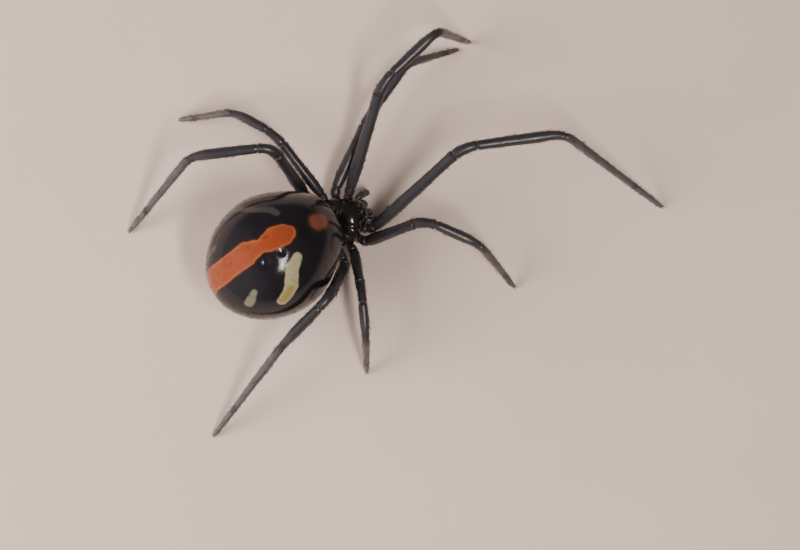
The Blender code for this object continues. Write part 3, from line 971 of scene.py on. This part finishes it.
# %% Abdomen material
ABDOMEN_BLACKS = ("#110F13", "#1F1B21")
ABDOMEN_BLOTCHES = {"Scale": per_mm(1.4), "Detail": 4.0}
ABDOMEN_SHINE = 0.30
ABDOMEN_GRAIN = {"Scale": per_mm(0.07), "Detail": 3.0, "Roughness": 0.55}
ABDOMEN_GLOSS = (0.09, 0.20)
ABDOMEN_GRAIN_STRENGTH = 0.25
WANDER_PATTERN = {"Scale": per_mm(0.35), "Detail": 4.0, "Roughness": 0.6}
EDGE_WANDER = 0.13
# Each paint has the marking that it follows, the softness of its edge and its reach past the marking's own
# edge, both in mm, and two tints. A later one covers an earlier one.
MARKING_PAINTS = (
    ("orange_edge", 0.07, 0.09, "#1F0E0A", "#3A1A10"),
    ("spot_edge", 0.10, 0.20, "#1C120D", "#2E2114"),
    ("spot_edge", 0.05, 0.06, "#4E3824", "#42301E"),
    ("grey_edge", 0.08, 0.02, "#34312E", "#45413C"),
    ("cream_edge", 0.05, 0.02, "#A39B7E", "#908354"),
    ("yellow_edge", 0.12, 0.00, "#968549", "#85723A"),
    ("green_edge", 0.07, 0.02, "#747260", "#62614E"),
    ("orange_edge", 0.045, 0.00, "#844324", "#925634"),
    ("orange_edge", 0.08, -0.12, "#80361C", "#8A4024"),
    ("spot_edge", 0.06, -0.05, "#6E3A2B", "#7C4838"),
    ("hourglass_edge", 0.035, 0.00, "#A81A0C", "#BC2E14"),
)


def marking_mask(tree, attribute, wander, softness, reach):
    """1 inside a marking grown by its reach and 0 outside, from its stored distance and some noise."""
    stored = add_node(tree, "ShaderNodeAttribute", {"attribute_name": attribute}, {})
    shifted = add_node(tree, "ShaderNodeMath", {"operation": "ADD"}, {0: stored.outputs["Fac"], 1: wander})
    mask = add_node(
        tree, "ShaderNodeMapRange", {"interpolation_type": "SMOOTHSTEP"},
        {"Value": shifted.outputs["Value"], "From Min": reach + softness, "From Max": reach - softness},
    )
    return mask.outputs["Result"]


def make_abdomen_material():
    material, tree, shader, place = start_material("chitin_abdomen_taut_polished", 0.24, CHITIN_IOR)
    shader.inputs["Specular IOR Level"].default_value = ABDOMEN_SHINE
    drift = add_node(tree, "ShaderNodeTexNoise", {}, {"Vector": place, **WANDER_PATTERN}).outputs["Fac"]
    wander = add_node(
        tree, "ShaderNodeMapRange", {},
        {"Value": drift, "To Min": -EDGE_WANDER / 2, "To Max": EDGE_WANDER / 2},
    ).outputs["Result"]
    surface, _ = two_tints(tree, place, ABDOMEN_BLOTCHES, *ABDOMEN_BLACKS)
    for attribute, softness, reach, first, second in MARKING_PAINTS:
        paint = add_node(
            tree, "ShaderNodeMix", COLOUR_MIX, {0: drift, MIX_A: colour(first), MIX_B: colour(second)}
        ).outputs[MIX_RESULT]
        surface = add_node(
            tree, "ShaderNodeMix", COLOUR_MIX,
            {0: marking_mask(tree, attribute, wander, softness, reach), MIX_A: surface, MIX_B: paint},
        ).outputs[MIX_RESULT]
    tree.links.new(surface, shader.inputs["Base Color"])
    add_grain(tree, shader, place, ABDOMEN_GRAIN, ABDOMEN_GLOSS, ABDOMEN_GRAIN_STRENGTH)
    return material


abdomen_material = make_abdomen_material()
print("made", abdomen_material.name)

# %% [markdown]
# ## The abdomen itself
# Dimples, where muscles pull from inside, sit in pairs beside the middle line of the back. A furrow crosses
# the underside near the stalk, with the two low covers of the lungs in front of it. Each is pressed in or
# raised by moving the ball's points straight in or out, by a depth that fades with distance. Sculpting by
# hand would do the same, but couldn't be run again.

# %% Abdomen skin
ABDOMEN_SECTORS = 200
ABDOMEN_RINGS = 150
# Bearing, place along the abdomen, depth and radius of each dimple.
DIMPLES = (
    (10.0, -0.10, 0.05, 0.16),
    (-12.0, -0.10, 0.05, 0.16),
    (13.0, 0.90, 0.035, 0.24),
    (-11.0, 0.80, 0.085, 0.26),
    (12.0, 2.20, 0.03, 0.13),
    (-12.0, 2.20, 0.03, 0.13),
)
FURROW_ALONG = -1.35
FURROW_DEPTH = 0.07
FURROW_WIDTH = 0.12
FURROW_BELOW = (0.35, 0.65)
LUNG_COVERS = ((140.0, -1.75), (220.0, -1.75))
LUNG_COVER_RISE = 0.06
LUNG_COVER_RADIUS = 0.55


def hollow(distance, depth, radius):
    return depth * math.exp(-((distance / radius) ** 2))


def make_abdomen():
    dimples = []
    for bearing, along, depth, radius in DIMPLES:
        dimples.append((abdomen_form(ball_point(bearing + MARKING_ROLL, along)), depth, radius))
    for bearing, along in LUNG_COVERS:
        dimples.append((abdomen_form(ball_point(bearing, along)), -LUNG_COVER_RISE, LUNG_COVER_RADIUS))
    bm = unit_ball(ABDOMEN_SECTORS, ABDOMEN_RINGS)
    for vert in bm.verts:
        below = ease((-vert.co.z - FURROW_BELOW[0]) / (FURROW_BELOW[1] - FURROW_BELOW[0]))
        place = abdomen_form(vert.co)
        depth = below * hollow(place.y - FURROW_ALONG, FURROW_DEPTH, FURROW_WIDTH)
        for centre, deep, radius in dimples:
            depth += hollow((place - centre).length, deep, radius)
        vert.co = place - abdomen_outward(place) * depth
    places = np.array([vert.co[:] for vert in bm.verts])
    bm.transform(Matrix.Translation(ABDOMEN_CENTRE) @ ABDOMEN_TURN)
    abdomen = finish_piece(bm, "abdomen_skin", abdomen_material)
    store_markings(abdomen.data, places)
    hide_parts("abdomen")


make_abdomen()

# %% [markdown]
# ## Down on the abdomen
# Sparse, very short dark hairs lie back over the abdomen. They are the same joined bristles, thinner, and
# rooted at evenly spread bearings. They hardly show from above, but they keep the outline from looking
# moulded.

# %% Abdomen bristles
ABDOMEN_BRISTLES = 2600
ABDOMEN_BRISTLE_LENGTHS = (0.08, 0.15)
ABDOMEN_BRISTLE_THICKNESS = 0.007
ABDOMEN_BRISTLE_SPAN = (-0.93, 0.985)
ABDOMEN_SEED = 7
LEAN_REACH = 0.1


def grow_on_abdomen():
    draw = np.random.default_rng(ABDOMEN_SEED)
    along = draw.uniform(*ABDOMEN_BRISTLE_SPAN, ABDOMEN_BRISTLES)
    bearings = draw.uniform(0.0, 360.0, ABDOMEN_BRISTLES)
    lengths = draw.uniform(*ABDOMEN_BRISTLE_LENGTHS, ABDOMEN_BRISTLES)
    half = ABDOMEN_SIZE.y / 2
    turn = ABDOMEN_TURN.to_3x3()
    roots = []
    outward = []
    lean = []
    for share, bearing in zip(along, bearings):
        place = abdomen_form(ball_point(bearing, share * half))
        behind = abdomen_form(ball_point(bearing, min(share * half + LEAN_REACH, half)))
        out = abdomen_outward(place)
        roots.append(ABDOMEN_CENTRE + turn @ (place - out * ROOT_DEPTH))
        outward.append(turn @ out)
        lean.append(turn @ (behind - place))
    add_bristles(
        "abdomen_bristles", np.array(roots), np.array(outward), np.array(lean), lengths,
        root_places(bearings / 360.0, (along + 1) / 2), thickness=ABDOMEN_BRISTLE_THICKNESS,
    )


grow_on_abdomen()

# %% [markdown]
# ## Stalk
# A short waist of pleated skin joins the abdomen to the carapace. It is a limb like the legs, and the shape
# of their joints gives it its pleats.

# %% Stalk
STALK_POINTS = ((0.0, 1.15, 1.58), (0.0, 1.75, 1.72), (0.0, 2.45, 2.20))
STALK_BEND_REACH = 0.4
STALK_PROFILE = ((0.0, 0.24), (0.55, 0.27), (1.0, 0.33), (1.5, 0.46))
STALK_PLEATS = (0.35, 0.60, 0.85)
STALK_STEP = 0.05
STALK_SIDES = 40


def make_stalk():
    line = smooth_line([Vector(point) for point in STALK_POINTS], [STALK_BEND_REACH])
    length = length_marks(line)[-1]
    bm = sweep_skin(line, STALK_PROFILE, STALK_PLEATS, 0.0, length, STALK_STEP, STALK_SIDES, tip_share=1.0)
    finish_piece(bm, "pedicel", membrane_material)


make_stalk()

# %% [markdown]
# ## Spinnerets
# Two long pairs and a small middle pair of spinnerets stand on a low pleated ring below the rear end, with a
# small knob behind them. All of them are short limbs again, and the joint shape gives each spinneret its two
# segments. A spinneret's roots and tips lie in a frame of their own: out of the skin, back along it, and
# across.

# %% Spinnerets
SMALL_STEP = 0.03
RING_SIDES = 40
SPINNERET_SIDES = 24
SPINNERET_ANGLE = math.radians(50.0)
SPINNERET_RING = (-0.16, 0.27)
SPINNERET_RING_PROFILE = ((0.0, 0.68), (0.16, 0.57), (0.30, 0.46), (0.43, 0.40))
SPINNERET_RING_PLEATS = (0.20, 0.31)
# Name, row, distance from the middle, length and radius of each pair.
SPINNERET_PAIRS = (
    ("rear", 1.0, 0.20, 0.62, 0.155),
    ("front", -1.0, 0.20, 0.60, 0.150),
    ("middle", 0.0, 0.10, 0.42, 0.070),
)
ROW_GAP = 0.19
SPINNERET_FOOT = 0.16
SPINNERET_CLOSING = 0.45
SPINNERET_BULGE = 0.04
SPINNERET_TAPER = ((0.0, 1.0), (0.5, 0.95), (1.0, 0.5))
SPINNERET_JOINT = 0.62
SPINNERET_BEND_REACH = 0.1
KNOB_ROW = 1.9
KNOB_FOOT = 0.05
KNOB_LENGTH = 0.34
KNOB_SHARES = ((0.0, 0.11), (1.0, 0.077))
KNOB_MIDDLE_AT = 0.6
KNOB_BEND_REACH = 0.05


def limb_piece(name, corners, reach, shares, joints, step, sides, material):
    """A plain limb of three corners whose radii and joints are given as shares of its length."""
    line = smooth_line(corners, [reach])
    length = length_marks(line)[-1]
    profile = [(share * length, radius) for share, radius in shares]
    bm = sweep_skin(line, profile, [joint * length for joint in joints], 0.0, length, step, sides)
    return finish_piece(bm, name, material)


def spinneret_frame():
    """Middle of the spinnerets on the skin, and the directions out of it, back along it and across."""
    back = math.cos(SPINNERET_ANGLE)
    down = math.sin(SPINNERET_ANGLE)
    turn = ABDOMEN_TURN.to_3x3()
    centre = ABDOMEN_CENTRE + turn @ abdomen_form(Vector((0.0, back, -down)))
    outward = turn @ Vector((0.0, back / ABDOMEN_SIZE.y, -down / ABDOMEN_SIZE.z)).normalized()
    across = Vector((1, 0, 0))
    return centre, outward, across.cross(outward).normalized(), across


def make_spinnerets():
    centre, outward, backward, across = spinneret_frame()
    ring_start, ring_end = SPINNERET_RING
    ring = sweep_skin(
        [centre + outward * ring_start, centre + outward * ring_end], SPINNERET_RING_PROFILE,
        SPINNERET_RING_PLEATS, 0.0, ring_end - ring_start, SMALL_STEP, RING_SIDES,
    )
    base = finish_piece(ring, "spinneret_ring", spinneret_material)
    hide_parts("spinnerets")
    for pair, row, spread, length, radius in SPINNERET_PAIRS:
        shares = [(share, radius * thick) for share, thick in SPINNERET_TAPER]
        for side, word in SIDES:
            root = centre + outward * SPINNERET_FOOT + backward * (row * ROW_GAP) + across * (side * spread)
            tip = root + outward * length - across * (side * spread * SPINNERET_CLOSING)
            middle = root.lerp(tip, 0.5) + backward * (row * SPINNERET_BULGE)
            limb_piece(
                "spinneret_" + pair + "_" + word, [root, middle, tip], SPINNERET_BEND_REACH, shares,
                [SPINNERET_JOINT], SMALL_STEP, SPINNERET_SIDES, spinneret_material,
            )
    root = centre + backward * (KNOB_ROW * ROW_GAP) + outward * KNOB_FOOT
    tip = root + outward * KNOB_LENGTH
    limb_piece(
        "anal_tubercle", [root, root.lerp(tip, KNOB_MIDDLE_AT), tip], KNOB_BEND_REACH, KNOB_SHARES,
        [], SMALL_STEP, SPINNERET_SIDES, spinneret_material,
    )


make_spinnerets()

# %% [markdown]
# ## Shield of the front body
# The carapace is one hard plate, pear-shaped from above. The head is raised, and a shallow V of grooves
# parts it from the chest behind, where a pit marks the inner muscle's hold and faint grooves fan out to the
# legs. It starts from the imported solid's own shape function, with these details pressed into its top, again
# because moved points leave no edges as a cut would.

# %% Carapace shape
CARAPACE_LENGTH = 2.8
CARAPACE_WIDTH = 2.5
HEAD_WIDTH = 1.5
RIM_HEIGHT = 1.64
HEAD_TOP = 2.45
REAR_TOP = 1.86
UNDERSIDE = 0.10
NECK_START = 0.10
NECK_LENGTH = 0.55
HEAD_BLUNTNESS = 5
SMALLEST_CIRCLE = 0.05
HEAD_RISE_LENGTH = 1.5
PIT_ALONG, PIT_DEPTH, PIT_RADIUS = 0.42, 0.16, 0.20
# Start and end of each groove on the left, then its depth and width. The right side has the same ones.
GROOVES = (
    ((0.05, 0.30), (0.82, -0.52), 0.07, 0.10),
    ((0.15, 0.45), (1.00, 0.05), 0.035, 0.08),
    ((0.15, 0.55), (0.95, 0.60), 0.035, 0.08),
    ((0.10, 0.62), (0.60, 1.05), 0.03, 0.08),
)


def carapace_form(point):
    """Place in mm around the shield's middle of a point of the unit ball."""
    forward = -point.y
    outline = 1.0
    if forward > NECK_START:
        narrowed = min(1.0, (forward - NECK_START) / NECK_LENGTH)
        circle = max(math.sqrt(1 - min(1.0, forward**2)), SMALLEST_CIRCLE)
        blunt = math.sqrt(max(0.0, 1 - forward**HEAD_BLUNTNESS)) / circle
        outline = blunt * (1 - (1 - HEAD_WIDTH / CARAPACE_WIDTH) * ease(narrowed))
    across = point.x * outline * CARAPACE_WIDTH / 2
    along = point.y * CARAPACE_LENGTH / 2
    if point.z < 0:
        return Vector((across, along, RIM_HEIGHT + point.z * UNDERSIDE))
    top = REAR_TOP + (HEAD_TOP - REAR_TOP) * ease((forward + 1.0) / HEAD_RISE_LENGTH)
    return Vector((across, along, RIM_HEIGHT + point.z * (top - RIM_HEIGHT)))


def groove_distance(place, start, end):
    start = Vector(start)
    way = Vector(end) - start
    flat = Vector((abs(place.x), place.y)) - start
    share = min(1.0, max(0.0, flat.dot(way) / way.length_squared))
    return (flat - way * share).length


def carapace_press(place):
    """How deep the pit and grooves are at a place on the top."""
    depth = hollow(math.hypot(place.x, place.y - PIT_ALONG), PIT_DEPTH, PIT_RADIUS)
    for start, end, deep, wide in GROOVES:
        depth += hollow(groove_distance(place, start, end), deep, wide)
    return depth


print("carapace rises to", HEAD_TOP, "mm over the head")

# %% [markdown]
# ## Carapace and what lies under it
# The plate is dark brown-black and glossier than the legs. Under it is a dull membrane that the legs come
# out of, and below that the heart-shaped breastplate, with the lip and the two mouth lobes in front of it.
# From above they are hidden, so a shaped ball for each is enough.

# %% Front body pieces
CARAPACE_SECTORS = 128
CARAPACE_RINGS = 96
PRESS_FADE = 1.6
HEART_TAPER = 0.45
HEART_FLATNESS = 1.5


def make_carapace():
    bm = unit_ball(CARAPACE_SECTORS, CARAPACE_RINGS)
    for vert in bm.verts:
        up = ease(vert.co.z * PRESS_FADE)
        place = carapace_form(vert.co)
        place.z -= up * carapace_press(place)
        vert.co = place
    carapace = finish_piece(bm, "carapace", carapace_material)
    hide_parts("prosoma")


def heart(point):
    """A breastplate that comes to a blunt point behind, flat above and below."""
    taper = 1 - HEART_TAPER * max(0.0, point.y) ** 2
    return Vector((point.x * taper, point.y, max(-1.0, min(1.0, point.z * HEART_FLATNESS))))


def oval(point):
    return point


PLATES = (
    ("pleura", (0, 0.05, 1.42), (2.05, 2.35, 0.66), oval, (64, 40), membrane_material, "carapace"),
    ("sternum", (0, 0, 1.30), (1.34, 1.9, 0.84), heart, (64, 48), carapace_material, "carapace"),
    ("lip", (0, -0.90, 1.08), (0.46, 0.42, 0.30), oval, (40, 28), carapace_material, "jaw"),
    ("mouth_lobe_left", (0.33, -1.02, 1.13), (0.36, 0.52, 0.34), oval, (40, 28), carapace_material, "jaw"),
    ("mouth_lobe_right", (-0.33, -1.02, 1.13), (0.36, 0.52, 0.34), oval, (40, 28), carapace_material, "jaw"),
)


def make_plate(name, centre, size, form, fineness, material, slot):
    bm = unit_ball(*fineness)
    for vert in bm.verts:
        point = form(vert.co.copy())
        vert.co = Vector(centre) + Vector((point.x * size[0], point.y * size[1], point.z * size[2])) / 2
    finish_piece(bm, name, material)


make_carapace()
for plate in PLATES:
    make_plate(*plate)

# %% [markdown]
# ## Eight eyes
# The eyes sit in two rows across the front of the head, four looking forward and four up and outward. Each
# is a clear, very smooth dome over a dark pit. Glass with a pit behind it would be truer and would hardly
# show at a tenth of a millimetre, so each is a dark polished ball with a clear coat, sunk in the head.

# %% Eyes
EYES = (
    ("front_middle", (0.15, -1.25, 2.02), 0.10),
    ("front_side", (0.46, -1.12, 1.98), 0.09),
    ("rear_middle", (0.17, -1.02, 2.28), 0.10),
    ("rear_side", (0.52, -0.95, 2.16), 0.09),
)
EYE_TINTS = ("#050404", "#1E1410")
EYE_PATTERN = {"Scale": per_mm(0.15), "Detail": 2.0}
EYE_ROUGHNESS = 0.04
EYE_IOR = 1.5
EYE_COAT_ROUGHNESS = 0.02


def make_eye_material():
    material, tree, shader, place = start_material("eye_lens_clear_grown", EYE_ROUGHNESS, EYE_IOR)
    tint, _ = two_tints(tree, place, EYE_PATTERN, *EYE_TINTS)
    tree.links.new(tint, shader.inputs["Base Color"])
    shader.inputs["Coat Weight"].default_value = 1.0
    shader.inputs["Coat Roughness"].default_value = EYE_COAT_ROUGHNESS
    return material


eye_material = make_eye_material()


def make_eye(name, place, radius):
    bm = bmesh.new()
    bmesh.ops.create_icosphere(bm, subdivisions=4, radius=radius)
    bmesh.ops.translate(bm, verts=bm.verts, vec=place)
    finish_piece(bm, name, eye_material)


for eye_name, place, radius in EYES:
    for side, word in SIDES:
        make_eye("eye_" + eye_name + "_" + word, mirrored(place, side), radius)

# %% [markdown]
# ## Jaws and fangs
# Two stout jaws hang from the front of the head, each a rounded segment with a short curved fang that folds
# inward at its tip. Both are limbs of three corners, so the same function makes them.

# %% Jaws
JAW_ROOT = (0.24, -1.22, 1.62)
JAW_TIP = (0.23, -1.47, 0.72)
JAW_BULGE_AT = 0.45
JAW_BULGE = Vector((0.0, -0.06, 0.0))
JAW_SHARES = ((0.0, 0.19), (0.35, 0.215), (0.75, 0.185), (1.0, 0.13))
JAW_SIDES = 40
JAW_BEND_REACH = 0.35
FANG_ROOT_AT = 0.92
FANG_SWING = (-0.10, 0.12, -0.22)
FANG_BEND_AT = 0.6
FANG_BOW = (0.02, -0.05, 0.0)
FANG_SHARES = ((0.0, 0.075), (0.5, 0.05), (1.0, 0.012))
FANG_JOINT = 0.08
FANG_STEP = 0.02
FANG_SIDES = 20
FANG_BEND_REACH = 0.12


def make_jaw(side, word):
    root = mirrored(JAW_ROOT, side)
    tip = mirrored(JAW_TIP, side)
    middle = root.lerp(tip, JAW_BULGE_AT) + JAW_BULGE
    jaw = limb_piece(
        "chelicera_skin_" + word, [root, middle, tip], JAW_BEND_REACH, JAW_SHARES, [], SMALL_STEP, JAW_SIDES,
        carapace_material,
    )
    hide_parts("chelicera_" + word)
    fang_root = root.lerp(tip, FANG_ROOT_AT)
    fang_tip = tip + mirrored(FANG_SWING, side)
    fang_middle = fang_root.lerp(fang_tip, FANG_BEND_AT) + mirrored(FANG_BOW, side)
    limb_piece(
        "fang_" + word, [fang_root, fang_middle, fang_tip], FANG_BEND_REACH, FANG_SHARES, [FANG_JOINT],
        FANG_STEP, FANG_SIDES, claw_material,
    )


for side, word in SIDES:
    make_jaw(side, word)

# %% [markdown]
# ## Palps
# Beside the jaws are the palps, like two short extra legs that feel and taste. A palp has the leg's make
# without the metatarsus, and here it is folded down beside the jaw. It uses the leg's own sweep, tone and
# bristles.

# %% Palps
PALP_ROOT = (0.56, -1.10, 1.22)
# Yaw, pitch and length of each stretch.
PALP_STRETCHES = ((20.0, -5.0, 0.38), (8.0, -45.0, 0.45), (0.0, -75.0, 0.42), (160.0, -30.0, 0.42))
PALP_BEND_REACH = 0.20
PALP_RADII = ((0.0, 0.13), (0.3, 0.16), (0.6, 0.15), (0.85, 0.17), (1.0, 0.07))
PALP_JOINTS = (0.20, 0.48, 0.60, 0.76)
PALP_STEP = 0.05
PALP_SIDES = 24
PALP_TONE = 0.15
PALP_TONE_GAIN = 0.3
PALP_BRISTLE_START = 0.15
PALP_BRISTLES_PER_MM = 60
PALP_BRISTLE_LENGTHS = (0.08, 0.2)
PALP_SEEDS = {"left": 300, "right": 301}


def make_palp(side, word):
    corners = [mirrored(PALP_ROOT, side)]
    for yaw, pitch, length in PALP_STRETCHES:
        corners.append(corners[-1] + direction(yaw, pitch, side) * length)
    line = smooth_line(corners, [PALP_BEND_REACH] * (len(corners) - 2))
    length = length_marks(line)[-1]
    profile = [(length * share, radius) for share, radius in PALP_RADII]
    joints = [length * share for share in PALP_JOINTS]
    bm = sweep_skin(line, profile, joints, 0.0, length, PALP_STEP, PALP_SIDES)
    tone = bm.verts.layers.float.new("tone")
    along = bm.verts.layers.float["along"]
    for vert in bm.verts:
        vert[tone] = PALP_TONE + PALP_TONE_GAIN * vert[along] / length
    palp = finish_piece(bm, "palp_skin_" + word, leg_material)
    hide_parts("pedipalp_" + word)
    grow_on_limb(
        "palp_bristles_" + word, line, profile, PALP_BRISTLE_START, length - BARE_TIP,
        PALP_BRISTLES_PER_MM, PALP_BRISTLE_LENGTHS, PALP_SEEDS[word],
    )


for side, word in SIDES:
    make_palp(side, word)

# %% [markdown]
# ## Floor
# A plain pale floor takes the shadows. It is far larger than the animal, so that no edge of it shows from
# any side, and its two tints are close together.

# %% Floor
FLOOR_SIZE = 1200.0
FLOOR_TINTS = ("#D0B9AB", "#DCC5B7")
FLOOR_CLOUDS = {"Scale": per_mm(9.0), "Detail": 5.0, "Roughness": 0.6}
FLOOR_ROUGHNESS = 0.6
FLOOR_IOR = 1.45


def make_floor_material():
    material, tree, shader, place = start_material("laminate_matt_pressed", FLOOR_ROUGHNESS, FLOOR_IOR)
    tint, _ = two_tints(tree, place, FLOOR_CLOUDS, *FLOOR_TINTS)
    tree.links.new(tint, shader.inputs["Base Color"])
    return material


def make_floor():
    bm = bmesh.new()
    bmesh.ops.create_grid(bm, x_segments=2, y_segments=2, size=FLOOR_SIZE / 2)
    bmesh.ops.scale(bm, verts=bm.verts, vec=(MM, MM, MM))
    mesh = bpy.data.meshes.new("floor")
    bm.to_mesh(mesh)
    bm.free()
    mesh.materials.append(make_floor_material())
    floor = bpy.data.objects.new("floor", mesh)
    bpy.context.scene.collection.objects.link(floor)
    floor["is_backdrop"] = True
    print("floor", FLOOR_SIZE, "mm wide")


make_floor()

# %% [markdown]
# ## Light
# The photo was taken indoors, in soft light from the left of the picture. A large soft lamp there lights the
# model and throws its shadows. Its reflection would lay a broad sheen over the stripe, so it is hidden from
# glossy rays, and a tall strip of a lamp nearly overhead gives the abdomen its few sharp glints instead. A
# sky that is dim all round and brighter towards the same side fills the rest, and gives the gloss something
# to mirror.

# %% Light
LAMP_COLOUR = "#FFFAF6"
# Name, lean right and up in the picture, distance, width and height, watts, and whether it shows in gloss.
LAMPS = (
    ("strip", (0.26, -0.38), 150.0, (14.0, 58.0), 0.150, True),
    ("key", (-1.35, -0.15), 125.0, (90.0, 90.0), 0.240, False),
)
SKY_STRENGTH = 0.80
SKY_LIGHT_SIDE = (-0.92, -0.38)
SKY_FADE = (0.15, 0.95)
SKY_DARK = "#777577"
SKY_BRIGHT = "#FFFBFA"


def level_in_picture(right, up):
    """A level vector that points right and up in the picture by these shares."""
    return IMAGE_RIGHT * right + Vector((IMAGE_UP.x, IMAGE_UP.y, 0)).normalized() * up


def add_lamp(name, lean, distance, size, power, shines):
    """A flat lamp over the animal, leaning by shares of its height."""
    way = (Vector((0, 0, 1)) + level_in_picture(*lean)).normalized()
    across = (IMAGE_RIGHT - way * IMAGE_RIGHT.dot(way)).normalized()
    lamp = bpy.data.lights.new(name, "AREA")
    lamp.shape = "RECTANGLE"
    lamp.size = size[0] * MM
    lamp.size_y = size[1] * MM
    lamp.energy = power
    lamp.color = colour(LAMP_COLOUR)[:3]
    holder = bpy.data.objects.new(name, lamp)
    holder.matrix_world = Matrix.Translation((BODY_PLACE + way * distance) * MM) @ (
        Matrix((across, way.cross(across), way)).transposed().to_4x4()
    )
    holder.visible_glossy = shines
    bpy.context.scene.collection.objects.link(holder)


def make_sky():
    sky = bpy.data.worlds.new("sky")
    sky.use_nodes = True
    tree = sky.node_tree
    place = add_node(tree, "ShaderNodeTexCoord", {}, {})
    facing = add_node(
        tree, "ShaderNodeVectorMath", {"operation": "DOT_PRODUCT"},
        {0: place.outputs["Generated"], 1: level_in_picture(*SKY_LIGHT_SIDE)},
    )
    share = add_node(
        tree, "ShaderNodeMapRange", {"interpolation_type": "SMOOTHSTEP"},
        {"Value": facing.outputs["Value"], "From Min": SKY_FADE[0], "From Max": SKY_FADE[1]},
    )
    room = add_node(
        tree, "ShaderNodeMix", COLOUR_MIX,
        {0: share.outputs["Result"], MIX_A: colour(SKY_DARK), MIX_B: colour(SKY_BRIGHT)},
    )
    background = tree.nodes["Background"]
    background.inputs["Strength"].default_value = SKY_STRENGTH
    tree.links.new(room.outputs[MIX_RESULT], background.inputs["Color"])
    bpy.context.scene.world = sky


for lamp_settings in LAMPS:
    add_lamp(*lamp_settings)
make_sky()
print(len(LAMPS), "lamps and a sky")

# %% Sizes
seen_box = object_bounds()
for axis, letter in enumerate("XYZ"):
    under = (cad_box[0][axis] - seen_box[0][axis]) / MM
    over = (seen_box[1][axis] - cad_box[1][axis]) / MM
    print(letter, "grows by", round(under, 3), "below and", round(over, 3), "above, in mm")
